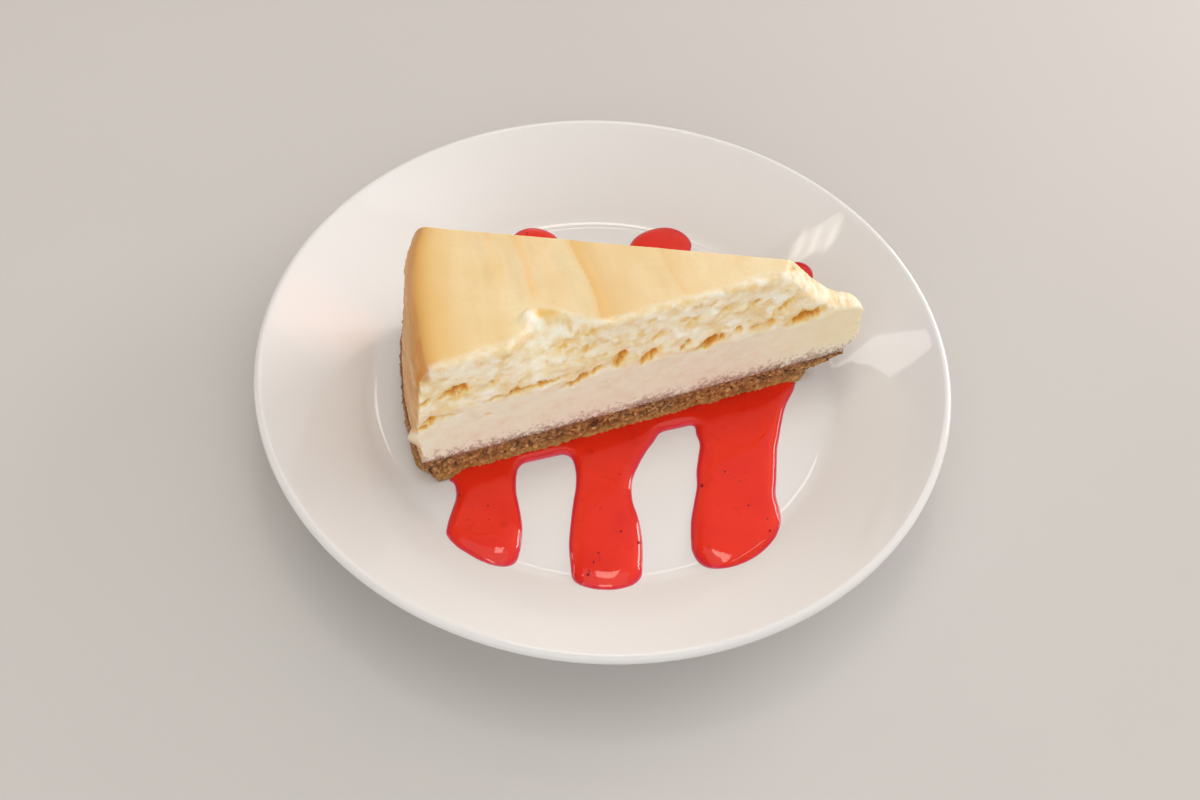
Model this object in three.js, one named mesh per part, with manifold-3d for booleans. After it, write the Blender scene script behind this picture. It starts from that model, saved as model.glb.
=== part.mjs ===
// A slice of baked cheesecake on a round porcelain plate, set down across three poured bands of
// red fruit sauce. Millimetres, +Z up. The origin is the centre of the plate's foot, on the table.
// The slice lies along X with its point towards +X, and the cut face that shows is towards -Y.
import * as THREE from "three";
import { mergeVertices } from "three/addons/utils/BufferGeometryUtils.js";
import Module from "manifold-3d";

const wasm = await Module();
wasm.setup();

const { lerp, smoothstep, degToRad } = THREE.MathUtils;

// Two pieces that touch keep this gap
const gap = 0.3;

// Plate
const plateRadius = 95;
const rimHeight = 22.8;
const lipRadius = 1.5;
const wellRadius = 64.7;
const wellHeight = 6.5;
const wellFillet = 10;
const footHeight = 2.5;
const footOuterRadius = 57;
const footWidth = 4;
const footTaper = 0.6;
const plateSegments = 80;

// Whole cake that the slice was cut from: a 10 inch tin, cut in fourteen
const cakeRadius = 127.5;
const cakeCentreX = 71;
const sliceTop = 49;
const crustTop = 16.4;

// Sauce: its full depth, and the film of it under the slice
const sauceDepth = 1.6;
const sauceFilm = 0.35;
const sauceEdgeDepth = 0.35;
const sauceEdgeRound = 2.4;
const sauceFloor = wellHeight + gap;
const crustBottom = sauceFloor + sauceFilm + gap;

// Knife cuts, seen from above at the foot of the slice
const outerX = -50.3;
const nearFoot = { y: -28.6, turn: degToRad(12.1) };
const farFoot = { y: 27.9, turn: degToRad(-12.5) };
const sliceLength = 127;
const sliceTipX = 72;

// Near cut: smooth and upright up to the shelf, then crumbly and leaning back
const shelfZ = 33;
const nearLean = 3.5;
const nearLeanGrowth = 0.012;
const farLean = 1.3;
const farLeanGrowth = 0.009;
const tipFadeX = 56;
const tipLean = 0.4;
const crackZ = 36.8;
const crackHalfHeight = 1.7;
const crackDepth = 1.7;
const crackBreaks = 0.35;
const cragDepth = 0.7;
const cragsAlong = 0.8;
const cragsUp = 0.9;

// Bite that the knife pulled out of the skin at the near edge, steeper on its outer side
const scoopX = -19;
const scoopOuterWidth = 11;
const scoopInnerWidth = 15.5;
const scoopDepth = 6.8;
const scoopFloorZ = 38;

// Outer wall of the filling: it shrank from the tin towards the top, and the edge is rounded
const wallFootRadius = 126.9;
const wallTopRadius = 123.7;
const topEdgeRadius = 3.5;
const cornerShare = 1 - Math.SQRT1_2;
const topEdgeInset = topEdgeRadius * cornerShare;

// The wall leans out at the near corner and in at the far one, above these heights
const nearFlare = { out: 2.2, fromY: 6, toY: 26 };
const farFlare = { out: -1.2, fromY: 17, toY: 27 };
const flareFromZ = 18;
const flareToZ = 31;

// Lump of filling that stands out at the near outer corner, just above the crust
const lump = { z: 27, height: 5, y: -29.5, width: 4.5, out: 3 };

// Crust: its near outer corner is worn back, and it has crumbled away under the tip
const cornerWear = 4.5;
const cornerWearWidth = 6;
const crustEndX = 68.5;
const crumbledX = 55.5;
const crumbledLength = 3;
const crumbledZ = 12.2;
const crustEndZ = 14.4;
const crustRough = 0.5;

// Height of the top along the slice: the skin ends, and the broken tip falls to a ledge
const skinEndX = 47;
const skinEndSkew = 0.44;
const brokenTip = [
  [skinEndX, sliceTop], [50.5, 46.6], [54.5, 42.6], [58, 39.6], [62, 37.6], [67, 36.9], [72, 35.6],
];

// End of the tip at each height
const tipFront = [
  [16.5, 69.2], [19.5, 71.4], [25, 72], [30, 71.4], [34, 70.2], [37, 68.4],
];

// Folds in the skin: where each starts at the far edge and ends at the near edge
const skinFolds = [
  { farX: -30, nearX: -30, height: 0.4, width: 2.8 },
  { farX: -22, nearX: -18, height: 0.4, width: 2.8 },
  { farX: -12, nearX: -6, height: 0.5, width: 4 },
  { farX: 14, nearX: 21, height: 0.3, width: 3.5 },
];

// Bands of sauce. Each row is a distance along Y, the band's middle, and half its width there
const sauceBands = [
  {
    nearEnd: -57.2, nearRound: 6, farEnd: 63.4, farRound: 7,
    rows: [
      [-57.2, -34.4, 6], [-53, -36.1, 6.8], [-50, -37.2, 8.4], [-46, -37.9, 9.8], [-42, -37.6, 9.6],
      [-38, -37, 8.8], [-34, -36.4, 8], [-30, -36.2, 8.2], [-27, -36.3, 9], [30, -19.5, 8.5],
      [54, -13.6, 8], [63.4, -13.2, 7.6],
    ],
  },
  {
    nearEnd: -67.6, nearRound: 6, farEnd: 59.4, farRound: 9,
    rows: [
      [-67.6, -7.6, 8.8], [-62, -8, 9.1], [-58, -7.6, 9.4], [-52, -7, 9.6], [-46, -6.4, 9],
      [-40, -6, 8], [-34, -4.7, 7.7], [-29, -3.1, 8.7], [-25, -2, 10.3], [-20, -1.4, 13.4],
      [30, 15.5, 9], [50, 25, 10], [59.4, 26.2, 9.8],
    ],
  },
  {
    nearEnd: -64, nearRound: 9, farEnd: 36.6, farRound: 8,
    rows: [
      [-64, 22.8, 9.5], [-60, 24.9, 10.2], [-56, 26.4, 11.4], [-52, 27.7, 12.1], [-48, 28.5, 12],
      [-43, 29.4, 11.2], [-38, 30.9, 11], [-33, 32, 11.2], [-28, 33.4, 11.1], [-24, 34.7, 11.3],
      [-20, 35.3, 12.2], [-14, 37.5, 12.6], [-7, 42, 12.5], [15, 53, 9.5], [30, 60.6, 7.6],
      [36.6, 62.4, 6.6],
    ],
  },
];

// Strip of sauce that joins the bands along the slice's near foot
const strip = { fromX: -45, toX: 44, reach: 0.4, reachGrowth: 0.055, under: 9 };

// Value of a table of [position, value, ...] rows at a position, on a smooth curve through them
function along(table, position, column = 1) {
  const last = table.length - 1;
  const at = THREE.MathUtils.clamp(position, table[0][0], table[last][0]);
  let row = 0;
  while (row < last - 1 && at > table[row + 1][0]) {
    row += 1;
  }
  const [before, from, to, after] = [row - 1, row, row + 1, row + 2].map(
    (index) => table[THREE.MathUtils.clamp(index, 0, last)],
  );
  const span = to[0] - from[0];
  const share = (at - from[0]) / span;
  const slopeFrom = ((to[column] - before[column]) / (to[0] - before[0])) * span;
  const slopeTo = ((after[column] - from[column]) / (after[0] - from[0])) * span;
  const square = share * share;
  const cube = square * share;
  return (
    (2 * cube - 3 * square + 1) * from[column] + (cube - 2 * square + share) * slopeFrom +
    (3 * square - 2 * cube) * to[column] + (cube - square) * slopeTo
  );
}

// One round bump, 1 at the middle and 0 beyond its half width
function bump(distance) {
  return Math.abs(distance) < 1 ? Math.cos((distance * Math.PI) / 2) ** 2 : 0;
}

// Uneven broken surface between 0 and 1, the same each time
function crag(a, b) {
  const waves = Math.sin(1.7 * a + 0.6 * b) + Math.sin(0.9 * a - 2.1 * b + 1.3) +
    Math.sin(3.1 * a + 1.9 * b + 0.4);
  return (waves + 3) / 6;
}

// A quarter circle's drop at a distance from its edge
function edgeDrop(distance, radius) {
  const inside = THREE.MathUtils.clamp(radius - distance, 0, radius);
  return radius - Math.sqrt(radius * radius - inside * inside);
}

// Even steps from 0 to 1
function steps(count) {
  return Array.from({ length: count + 1 }, (_, index) => index / count);
}

// A closed box with stations along X, Y and Z, each of its surface points moved to its place
function bentBox(xStations, yStations, zStations, place) {
  const counts = [xStations, yStations, zStations].map((stations) => stations.length - 1);
  const geometry = new THREE.BoxGeometry(1, 1, 1, ...counts);
  const position = geometry.attributes.position;
  const share = (value, stations) => stations[Math.round((value + 0.5) * (stations.length - 1))];
  for (let index = 0; index < position.count; index += 1) {
    const point = place(
      share(position.getX(index), xStations),
      share(position.getY(index), yStations),
      share(position.getZ(index), zStations),
    );
    position.setXYZ(index, ...point);
  }
  geometry.deleteAttribute("normal");
  geometry.deleteAttribute("uv");
  return mergeVertices(geometry);
}

// Plate: the wall's slope, from the crease of the well to the round lip that it touches
const lipCentre = new THREE.Vector2(plateRadius - lipRadius, rimHeight - lipRadius);
const creaseToLip = new THREE.Vector2(lipCentre.x - wellRadius, lipCentre.y - wellHeight);
const wallAngle = creaseToLip.angle() + Math.asin(lipRadius / creaseToLip.length());
const filletReach = wellFillet * Math.tan(wallAngle / 2);

// Height of the plate's upper face at a distance from its centre
function plateHeight(radius) {
  const fromFillet = radius - (wellRadius - filletReach);
  if (fromFillet <= 0) {
    return wellHeight;
  }
  if (fromFillet < wellFillet * Math.sin(wallAngle)) {
    return wellHeight + wellFillet - Math.sqrt(wellFillet ** 2 - fromFillet ** 2);
  }
  return wellHeight + (radius - wellRadius) * Math.tan(wallAngle);
}

function plateGeometry() {
  const lipSteps = 7;
  const filletSteps = 4;
  const footInnerRadius = footOuterRadius - footWidth;
  const underWall = lipRadius / Math.cos(wallAngle);
  const underCreaseRadius = lipCentre.x -
    (lipCentre.y - underWall - footHeight) / Math.tan(wallAngle);
  const profile = [
    [0, footHeight],
    [footInnerRadius, footHeight],
    [footInnerRadius + footTaper, 0],
    [footOuterRadius - footTaper, 0],
    [footOuterRadius, footHeight],
    [underCreaseRadius, footHeight],
  ];
  for (const share of steps(lipSteps)) {
    const angle = wallAngle - Math.PI / 2 + share * Math.PI;
    profile.push([
      lipCentre.x + lipRadius * Math.cos(angle),
      lipCentre.y + lipRadius * Math.sin(angle),
    ]);
  }
  for (const share of steps(filletSteps)) {
    const angle = wallAngle * (1 - share);
    const radius = wellRadius - filletReach + wellFillet * Math.sin(angle);
    profile.push([radius, wellHeight + wellFillet * (1 - Math.cos(angle))]);
  }
  profile.push([0, wellHeight]);
  const points = profile.map(([radius, height]) => new THREE.Vector2(radius, height));
  return new THREE.LatheGeometry(points, plateSegments).rotateX(Math.PI / 2);
}

// Slice: the straight lines of its two cuts at the foot
function footLine(foot, x) {
  return foot.y + (x - outerX) * Math.tan(foot.turn);
}

// Depth of the crumbly relief of a cut above the shelf
function cutCrags(x, z) {
  return cragDepth * crag(x * cragsAlong, z * cragsUp) * smoothstep(z, shelfZ, crackZ);
}

// How far the near cut stands back from its foot line
function nearRecess(x, z) {
  const tipFade = 1 - smoothstep(x, tipFadeX, sliceTipX);
  const lean = (nearLean + nearLeanGrowth * (x - outerX)) * smoothstep(z, shelfZ, sliceTop) *
    lerp(tipLean, 1, tipFade);
  const crackShape = Math.exp(-(((z - crackZ) / crackHalfHeight) ** 2));
  const crack = crackDepth * crackShape * crag(x * crackBreaks, crackZ) * tipFade;
  const scoopWidth = x < scoopX ? scoopOuterWidth : scoopInnerWidth;
  const scoop = scoopDepth * bump((x - scoopX) / scoopWidth) * smoothstep(z, scoopFloorZ, sliceTop);
  return lean + crack + scoop + cutCrags(x, z);
}

function nearCut(x, z) {
  return footLine(nearFoot, x) + nearRecess(x, z);
}

function farCut(x, z) {
  const lean = (farLean + farLeanGrowth * (x - outerX)) * smoothstep(z, crustTop, sliceTop);
  return footLine(farFoot, x) - lean - cutCrags(x + farFoot.y, z);
}

// X of the filling's outer wall
function fillingWall(y, z) {
  const height = (z - crustTop) / (sliceTop - topEdgeRadius - crustTop);
  const rounding = edgeDrop(sliceTop - z, topEdgeRadius);
  const lumpOut = lump.out * bump((z - lump.z) / lump.height) * bump((y - lump.y) / lump.width);
  const flare = nearFlare.out * smoothstep(-y, nearFlare.fromY, nearFlare.toY) +
    farFlare.out * smoothstep(y, farFlare.fromY, farFlare.toY);
  const flareOut = flare * smoothstep(z, flareFromZ, flareToZ);
  const straight = lerp(wallFootRadius, wallTopRadius, Math.min(1, height));
  const radius = straight - rounding + flareOut + lumpOut;
  return cakeCentreX - Math.sqrt(radius * radius - y * y);
}

// Height of the slice's top, with its folded skin, rounded outer edge and broken tip
function fillingTop(x, y, fromWall) {
  const across = (y - nearFoot.y) / (farFoot.y - nearFoot.y);
  let height = along(brokenTip, x - skinEndSkew * y);
  for (const fold of skinFolds) {
    const foldX = lerp(fold.nearX, fold.farX, across);
    height += fold.height * bump((x - foldX) / fold.width);
  }
  return height - edgeDrop(topEdgeInset + fromWall, topEdgeRadius);
}

function fillingPoint(u, v, w) {
  const fromWall = u * sliceLength;
  const roughX = lerp(sliceTipX - sliceLength, sliceTipX, u);
  const topY = lerp(nearCut(roughX, sliceTop), farCut(roughX, sliceTop), v);
  const z = lerp(crustTop + gap, fillingTop(roughX, topY, fromWall), w);
  const roughY = lerp(nearCut(roughX, z), farCut(roughX, z), v);
  const x = lerp(fillingWall(roughY, z), along(tipFront, z), u);
  return [x, lerp(nearCut(x, z), farCut(x, z), v), z];
}

function fillingGeometry() {
  const lengthSteps = 44;
  const nearWall = [0, 0.4, 1].map((share) => (share * topEdgeRadius) / sliceLength);
  const lengthwise = [...nearWall, ...steps(lengthSteps).slice(1)];
  const across = [0, 0.06, 0.2, 0.4, 0.6, 0.8, 0.94, 1];
  const heights = [16.7, 20.5, 26, shelfZ, 35.2, crackZ, 38.4, 41, 43.5, 45.5, 47.2, sliceTop];
  const upward = heights.map((z) => (z - heights[0]) / (sliceTop - heights[0]));
  return bentBox(lengthwise, across, upward, fillingPoint);
}

function crustPoint(u, v, w) {
  const x = lerp(sliceTipX - sliceLength, crustEndX, u);
  const crumbled = smoothstep(x, crumbledX, crumbledX + crumbledLength);
  const lastPart = smoothstep(x, crumbledX + crumbledLength, crustEndX);
  const bottom = lerp(lerp(crustBottom, crumbledZ, crumbled), crustEndZ, lastPart * crumbled);
  const z = lerp(bottom, crustTop, w);
  const roughY = lerp(footLine(nearFoot, x), footLine(farFoot, x), v);
  const rough = crustRough * crag(x * cragsAlong + roughY, z);
  const radius = cakeRadius - rough;
  const wear = cornerWear * bump((roughY - nearFoot.y) / cornerWearWidth) * (1 - w);
  const wallX = cakeCentreX - Math.sqrt(radius * radius - roughY * roughY) + wear;
  const placedX = lerp(wallX, crustEndX, u);
  const nearY = footLine(nearFoot, placedX) + rough;
  const farY = footLine(farFoot, placedX) - rough;
  return [placedX, lerp(nearY, farY, v), z];
}

function crustGeometry() {
  const lengthSteps = 42;
  const heightSteps = 3;
  const across = [0, 0.05, 0.12, 0.35, 0.65, 0.95, 1];
  return bentBox(steps(lengthSteps), across, steps(heightSteps), crustPoint);
}

// Sauce: its depth at a distance inside its outline, rounded down to a thin edge
function sauceDepthAt(inside) {
  const drop = edgeDrop(inside, sauceEdgeRound) / sauceEdgeRound;
  return sauceDepth - (sauceDepth - sauceEdgeDepth) * drop;
}

function saucePoint(x, y, depth) {
  return [x, y, plateHeight(Math.hypot(x, y)) + gap + depth];
}

// How far a round end narrows a band, 0 at its end and 1 beyond the round
function endShare(fromEnd, round) {
  const outside = THREE.MathUtils.clamp(1 - fromEnd / round, 0, 1);
  return Math.sqrt(1 - outside ** 2);
}

function bandGeometry(band) {
  const endInset = 0.25;
  const narrowest = 0.18;
  const endLength = 10;
  const middleCount = 22;
  const edgeSteps = [0, 0.05, 0.12, 0.28];
  const across = [...edgeSteps, 0.5, ...edgeSteps.toReversed().map((share) => 1 - share)];
  const length = band.farEnd - band.nearEnd;
  const endSteps = [0, 0.6, 1.5, 3, 5, 7.5];
  const middleSteps = steps(middleCount).map((share) => lerp(endLength, length - endLength, share));
  const lengthwise = [
    ...endSteps, ...middleSteps, ...endSteps.toReversed().map((step) => length - step),
  ];
  return bentBox(across, lengthwise, [0, 1], (u, distance, w) => {
    const y = band.nearEnd + distance;
    const fromEnd = Math.min(distance, length - distance) + endInset;
    const share = endShare(distance, band.nearRound) * endShare(length - distance, band.farRound);
    const halfWidth = along(band.rows, y, 2) * Math.max(narrowest, share);
    const x = along(band.rows, y) + halfWidth * (2 * u - 1);
    const inside = Math.min(u, 1 - u) * 2 * halfWidth;
    return saucePoint(x, y, w * sauceDepthAt(Math.min(inside, fromEnd)));
  });
}

function stripGeometry() {
  const lengthSteps = 26;
  const inward = [0, 0.6, 1.4, 2.6, strip.under];
  return bentBox(steps(lengthSteps), inward, [0, 1], (u, inside, w) => {
    const x = lerp(strip.fromX, strip.toX, u);
    const reach = strip.reach + strip.reachGrowth * (x - outerX);
    const y = footLine(nearFoot, x) - reach + inside;
    return saucePoint(x, y, w * sauceDepthAt(inside));
  });
}

// The room that the crust takes out of the sauce, down to the film that it stands on
function slicePrint() {
  const aboveSauce = 5;
  const wallSteps = 10;
  return bentBox(steps(1), steps(wallSteps), [0, 1], (u, v, w) => {
    const guessX = lerp(outerX, crumbledX, u);
    const guessY = lerp(footLine(nearFoot, guessX), footLine(farFoot, guessX), v);
    const radius = cakeRadius + gap;
    const wallX = cakeCentreX - Math.sqrt(radius * radius - guessY * guessY);
    const x = lerp(wallX, crumbledX + crumbledLength, u);
    const y = lerp(footLine(nearFoot, x) - gap, footLine(farFoot, x) + gap, v);
    return [x, y, lerp(sauceFloor + sauceFilm, sauceFloor + aboveSauce, w)];
  });
}

// A closed geometry as a solid that can be joined and cut, and back
function toSolid(geometry) {
  return new wasm.Manifold(new wasm.Mesh({
    numProp: 3,
    vertProperties: new Float32Array(geometry.attributes.position.array),
    triVerts: new Uint32Array(geometry.index.array),
  }));
}

function toGeometry(solid) {
  const mesh = solid.getMesh();
  const geometry = new THREE.BufferGeometry();
  geometry.setAttribute("position", new THREE.BufferAttribute(mesh.vertProperties, 3));
  geometry.setIndex(new THREE.BufferAttribute(mesh.triVerts, 1));
  return geometry;
}

function sauceGeometry() {
  const poured = sauceBands.map((band) => toSolid(bandGeometry(band)));
  const puddle = poured.reduce((sum, band) => sum.add(band), toSolid(stripGeometry()));
  return toGeometry(puddle.subtract(toSolid(slicePrint())));
}

function finish(color, roughness) {
  return new THREE.MeshStandardMaterial({ color, roughness, metalness: 0 });
}

function part(name, geometry, material) {
  const mesh = new THREE.Mesh(geometry, material);
  mesh.name = name;
  return mesh;
}

const cheesecake = new THREE.Group();
cheesecake.add(
  part("plate", plateGeometry(), finish(0xf2efec, 0.12)),
  part("sauce", sauceGeometry(), finish(0xc8201c, 0.1)),
  part("crumb_base", crustGeometry(), finish(0x9a6a35, 0.85)),
  part("filling", fillingGeometry(), finish(0xf0dfb4, 0.6)),
);

export default cheesecake;
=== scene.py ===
# %% [markdown]
# # A slice of cheesecake on a porcelain plate
# The real thing is four materials that meet: glazed porcelain, a pool of red fruit sauce, a pressed
# crumb base and a baked filling. The filling shows three faces of its own, a thin golden skin, a cut
# that is smooth below and torn above, and a wall that baked against the tin. Each is made below in
# the order in which a cook would do it: plate, cake, cuts, sauce, crumbs.

# %% Load the fixed model
import math
import random

import bpy
import numpy as np
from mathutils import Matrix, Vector, noise
from mathutils.bvhtree import BVHTree


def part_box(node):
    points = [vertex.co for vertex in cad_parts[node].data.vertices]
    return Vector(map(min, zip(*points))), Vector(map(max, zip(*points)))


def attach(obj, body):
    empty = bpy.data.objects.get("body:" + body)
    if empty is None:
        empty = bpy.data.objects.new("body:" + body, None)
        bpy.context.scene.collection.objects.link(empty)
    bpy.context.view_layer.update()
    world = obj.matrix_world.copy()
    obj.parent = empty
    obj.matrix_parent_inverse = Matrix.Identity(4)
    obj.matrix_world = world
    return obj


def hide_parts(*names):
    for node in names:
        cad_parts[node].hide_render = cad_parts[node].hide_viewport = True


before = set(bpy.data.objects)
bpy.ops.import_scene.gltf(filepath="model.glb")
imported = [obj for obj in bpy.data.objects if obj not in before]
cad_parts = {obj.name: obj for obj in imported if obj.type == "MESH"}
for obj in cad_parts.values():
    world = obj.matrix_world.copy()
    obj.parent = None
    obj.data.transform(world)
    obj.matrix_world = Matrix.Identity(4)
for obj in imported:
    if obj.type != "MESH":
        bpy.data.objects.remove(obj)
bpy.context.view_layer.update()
print("solids to dress:", sorted(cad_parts))

# %% [markdown]
# Blender works in metres here, and food is easier to think about in millimetres. So every size below
# is in millimetres, and these helpers turn it into metres where an operator needs it. An operator
# acts on everything that is selected, so each step first selects only the piece that it means.

# %% Helpers for modelling
MM = 0.001


def deselect():
    """Object mode with nothing selected."""
    if bpy.context.mode != "OBJECT":
        bpy.ops.object.mode_set(mode="OBJECT")
    bpy.ops.object.select_all(action="DESELECT")


def only(piece):
    """Selects one piece and makes it the active one."""
    deselect()
    piece.select_set(True)
    bpy.context.view_layer.objects.active = piece
    return piece


def named(name):
    """Names the primitive that was just added, and puts its place and size into its mesh."""
    piece = only(bpy.context.object)
    piece.name = name
    piece.data.name = name
    bpy.ops.object.transform_apply(location=True, rotation=True, scale=True)
    return piece


def face_table(piece, field):
    """The centre, in metres, or the normal of every face, a row for each."""
    flat = np.empty(len(piece.data.polygons) * 3, np.float32)
    piece.data.polygons.foreach_get(field, flat)
    return flat.reshape(-1, 3).astype(float)


def pick(piece, wanted):
    """Edit mode with only those faces selected that an array of true and false wants."""
    only(piece)
    mesh = piece.data
    mesh.vertices.foreach_set("select", np.zeros(len(mesh.vertices), bool))
    mesh.edges.foreach_set("select", np.zeros(len(mesh.edges), bool))
    mesh.polygons.foreach_set("select", np.asarray(wanted, bool))
    bpy.ops.object.mode_set(mode="EDIT")
    bpy.ops.mesh.select_mode(type="FACE")


def all_selected(piece, kind="FACE"):
    """Edit mode with the whole mesh selected."""
    only(piece)
    bpy.ops.object.mode_set(mode="EDIT")
    bpy.ops.mesh.select_mode(type=kind)
    bpy.ops.mesh.select_all(action="SELECT")


def modify(piece, kind, **settings):
    """Adds a modifier, sets it and applies it."""
    only(piece)
    modifier = piece.modifiers.new(kind.title(), kind)
    for name, value in settings.items():
        setattr(modifier, name, value)
    bpy.ops.object.modifier_apply(modifier=modifier.name)


def places(piece):
    """The places of a piece's vertices, in millimetres, a row for each."""
    flat = np.empty(len(piece.data.vertices) * 3, np.float32)
    piece.data.vertices.foreach_get("co", flat)
    return flat.reshape(-1, 3).astype(float) / MM


def directions(piece):
    """The normals of a piece's vertices, a row for each."""
    flat = np.empty(len(piece.data.vertices) * 3, np.float32)
    piece.data.vertex_normals.foreach_get("vector", flat)
    return flat.reshape(-1, 3).astype(float)


def move_to(piece, points):
    """Puts a piece's vertices at these places, in millimetres."""
    piece.data.vertices.foreach_set("co", (points * MM).astype(np.float32).ravel())
    piece.data.update()


def write(piece, name, values):
    """Keeps one number for each vertex, for a material to read."""
    layer = piece.data.attributes.new(name, "FLOAT", "POINT")
    layer.data.foreach_set("value", np.asarray(values, np.float32))


def triangles(piece):
    return sum(len(face.vertices) - 2 for face in piece.data.polygons)


# %% [markdown]
# Food has no straight lines, so most shapes below are a plain form plus unevenness. These few
# functions describe it: a soft step, a soft bump, and two kinds of noise, one for waves and one for
# lumps that touch each other, as curd and crumbs do.

# %% Functions for uneven shapes
def ramp(value, low, high):
    """Soft step from 0 at low to 1 at high."""
    share = np.clip((value - low) / (high - low), 0.0, 1.0)
    return share * share * (3 - 2 * share)


def bump(distance):
    """One round bump, 1 at the middle and 0 beyond a distance of 1."""
    return np.where(np.abs(distance) < 1, np.cos(np.clip(distance, -1, 1) * math.pi / 2) ** 2, 0.0)


def drop(distance, radius):
    """How far a rounded edge has fallen at a distance from it."""
    inside = np.clip(radius - distance, 0, radius)
    return radius - np.sqrt(radius**2 - inside**2)


def waves(points, size, octaves=3):
    """Noise from about -1 to 1, whose largest waves are about that many millimetres long."""
    return np.array([noise.fractal(Vector(p) / size, 1.0, 2.1, octaves) for p in points])


def lumps(points, size):
    """Two numbers a point for lumps of about that size: 0 at a lump's middle, and 0 between two."""
    near = np.array([noise.voronoi(Vector(p) / size)[0][:2] for p in points])
    return near[:, 0], near[:, 1] - near[:, 0]


# %% [markdown]
# ## Camera, floor and light
# The camera is matched to the photograph first. The plate's rim is a circle, so the ellipse that it
# draws gives the angle that the camera looks down at, and the far and near halves give its distance.
# It is turned a little about its own axis, as a camera held in the hand is.

# %% Camera
CAMERA_LOOKS_AT = (-4.27, -18.25, 22.79)
CAMERA_DISTANCE = 354.8
CAMERA_AZIMUTH = -11.57
CAMERA_ELEVATION = 52.02
CAMERA_ROLL = 4.15
CAMERA_LENS = 40


def towards(azimuth, elevation):
    """A direction seen from the cake. Azimuth 0 is in front of it and 90 to its right, in degrees."""
    turn, rise = math.radians(azimuth), math.radians(elevation)
    return Vector((math.sin(turn) * math.cos(rise), -math.cos(turn) * math.cos(rise), math.sin(rise)))


towards_camera = towards(CAMERA_AZIMUTH, CAMERA_ELEVATION)
deselect()
bpy.ops.object.camera_add()
camera = bpy.context.object
camera.name = "camera"
camera.location = (Vector(CAMERA_LOOKS_AT) + towards_camera * CAMERA_DISTANCE) * MM
turned = (-towards_camera).to_track_quat("-Z", "Y").to_matrix().to_4x4()
roll = math.radians(CAMERA_ROLL)
camera.rotation_euler = (turned @ type(turned).Rotation(roll, 4, "Z")).to_euler()
camera.data.lens = CAMERA_LENS
camera.data.clip_start = 0.01
bpy.context.scene.camera = camera
print("camera at", [round(value / MM) for value in camera.location], "mm")

# %% [markdown]
# A photographer lights glossy things with a few large soft sources, because a glaze and a sauce show
# each source as a shape. So each one is placed where the photograph's highlights must come from: the
# camera's line of sight is reflected at a highlight, and the source stands in that direction. The high
# window draws the bars on the ends of the sauce, the one at the back the thin line in the plate's
# crease, and those at the left the streaks on its right wall. The cards draw thin lines along the
# edges of the sauce. A wide one in front lights the cut, one overhead the skin and the plate's far
# wall, and the rest of the light comes from the room.

# %% Floor and lights
def linear(code):
    """A colour from its sRGB hex value, as the linear numbers that a shader works in."""
    channels = [int(code[start:start + 2], 16) / 255 for start in (1, 3, 5)]
    return tuple(
        value / 12.92 if value <= 0.04045 else ((value + 0.055) / 1.055) ** 2.4 for value in channels
    ) + (1.0,)


def softbox(name, azimuth, elevation, distance, size, power, colour):
    """A rectangular light that faces the cake."""
    away = towards(azimuth, elevation)
    bpy.ops.object.light_add(type="AREA", location=away * distance * MM)
    light = bpy.context.object
    light.name = name
    light.rotation_euler = (-away).to_track_quat("-Z", "Y").to_euler()
    light.data.shape = "RECTANGLE"
    light.data.size = size[0] * MM
    light.data.size_y = size[1] * MM
    light.data.energy = power
    light.data.color = linear(colour)[:3]
    return light


deselect()
bpy.ops.mesh.primitive_plane_add(size=40.0)
floor = named("floor")

softbox("overhead", 160, 87, 900, (900, 620), 1.3, "#FAFBFF")
softbox("front", -18, 36, 950, (1500, 900), 4.5, "#F7FBFF")
softbox("high_window", 165, 67, 3000, (560, 460), 5.0, "#FFF4E4")
softbox("back_window", 165, 48.2, 3000, (700, 200), 1.7, "#FFFDF4")
softbox("right_card", 119.5, 14.5, 900, (520, 200), 3.7, "#FFF6F2")
softbox("left_card", -112, 14, 900, (360, 120), 0.6, "#FFEEE4")
softbox("left_window_low", -150.1, 41.1, 875, (95, 105), 0.085, "#FFFDF4")
softbox("left_window_high", -123.2, 61.0, 895, (70, 50), 0.034, "#FFF9E8")
for pane, azimuth, elevation in ((1, -126.6, 60.1), (2, -123.4, 61.0), (3, -120.2, 61.9)):
    softbox(f"left_window_pane_{pane}", azimuth, elevation, 890, (9, 42), 0.0036, "#FFF9E8")
bpy.context.scene.view_settings.view_transform = "Standard"

# %% [markdown]
# ## The plate
# A coupe plate is thrown or pressed as one turned shape: a flat well, a soft crease, a straight
# wall, a round lip and a foot ring. So it is made here as a potter's profile, one ring after
# another: a circle is added, and each next ring is extruded from the last and resized. Arcs get many
# rings, because a glaze shows every flat.

# %% Plate sizes
plate_low, plate_high = (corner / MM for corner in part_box("plate"))
PLATE_RADIUS = 95.0
RIM_HEIGHT = plate_high.z
LIP_RADIUS = 1.5
WELL_RADIUS = 64.7
WELL_HEIGHT = 6.5
WELL_FILLET = 10.0
FOOT_HEIGHT = 2.5
FOOT_RADIUS = 57.0
FOOT_WIDTH = 4.0
PLATE_SIDES = 256
FILLET_STEPS = 16
LIP_STEPS = 14

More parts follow.
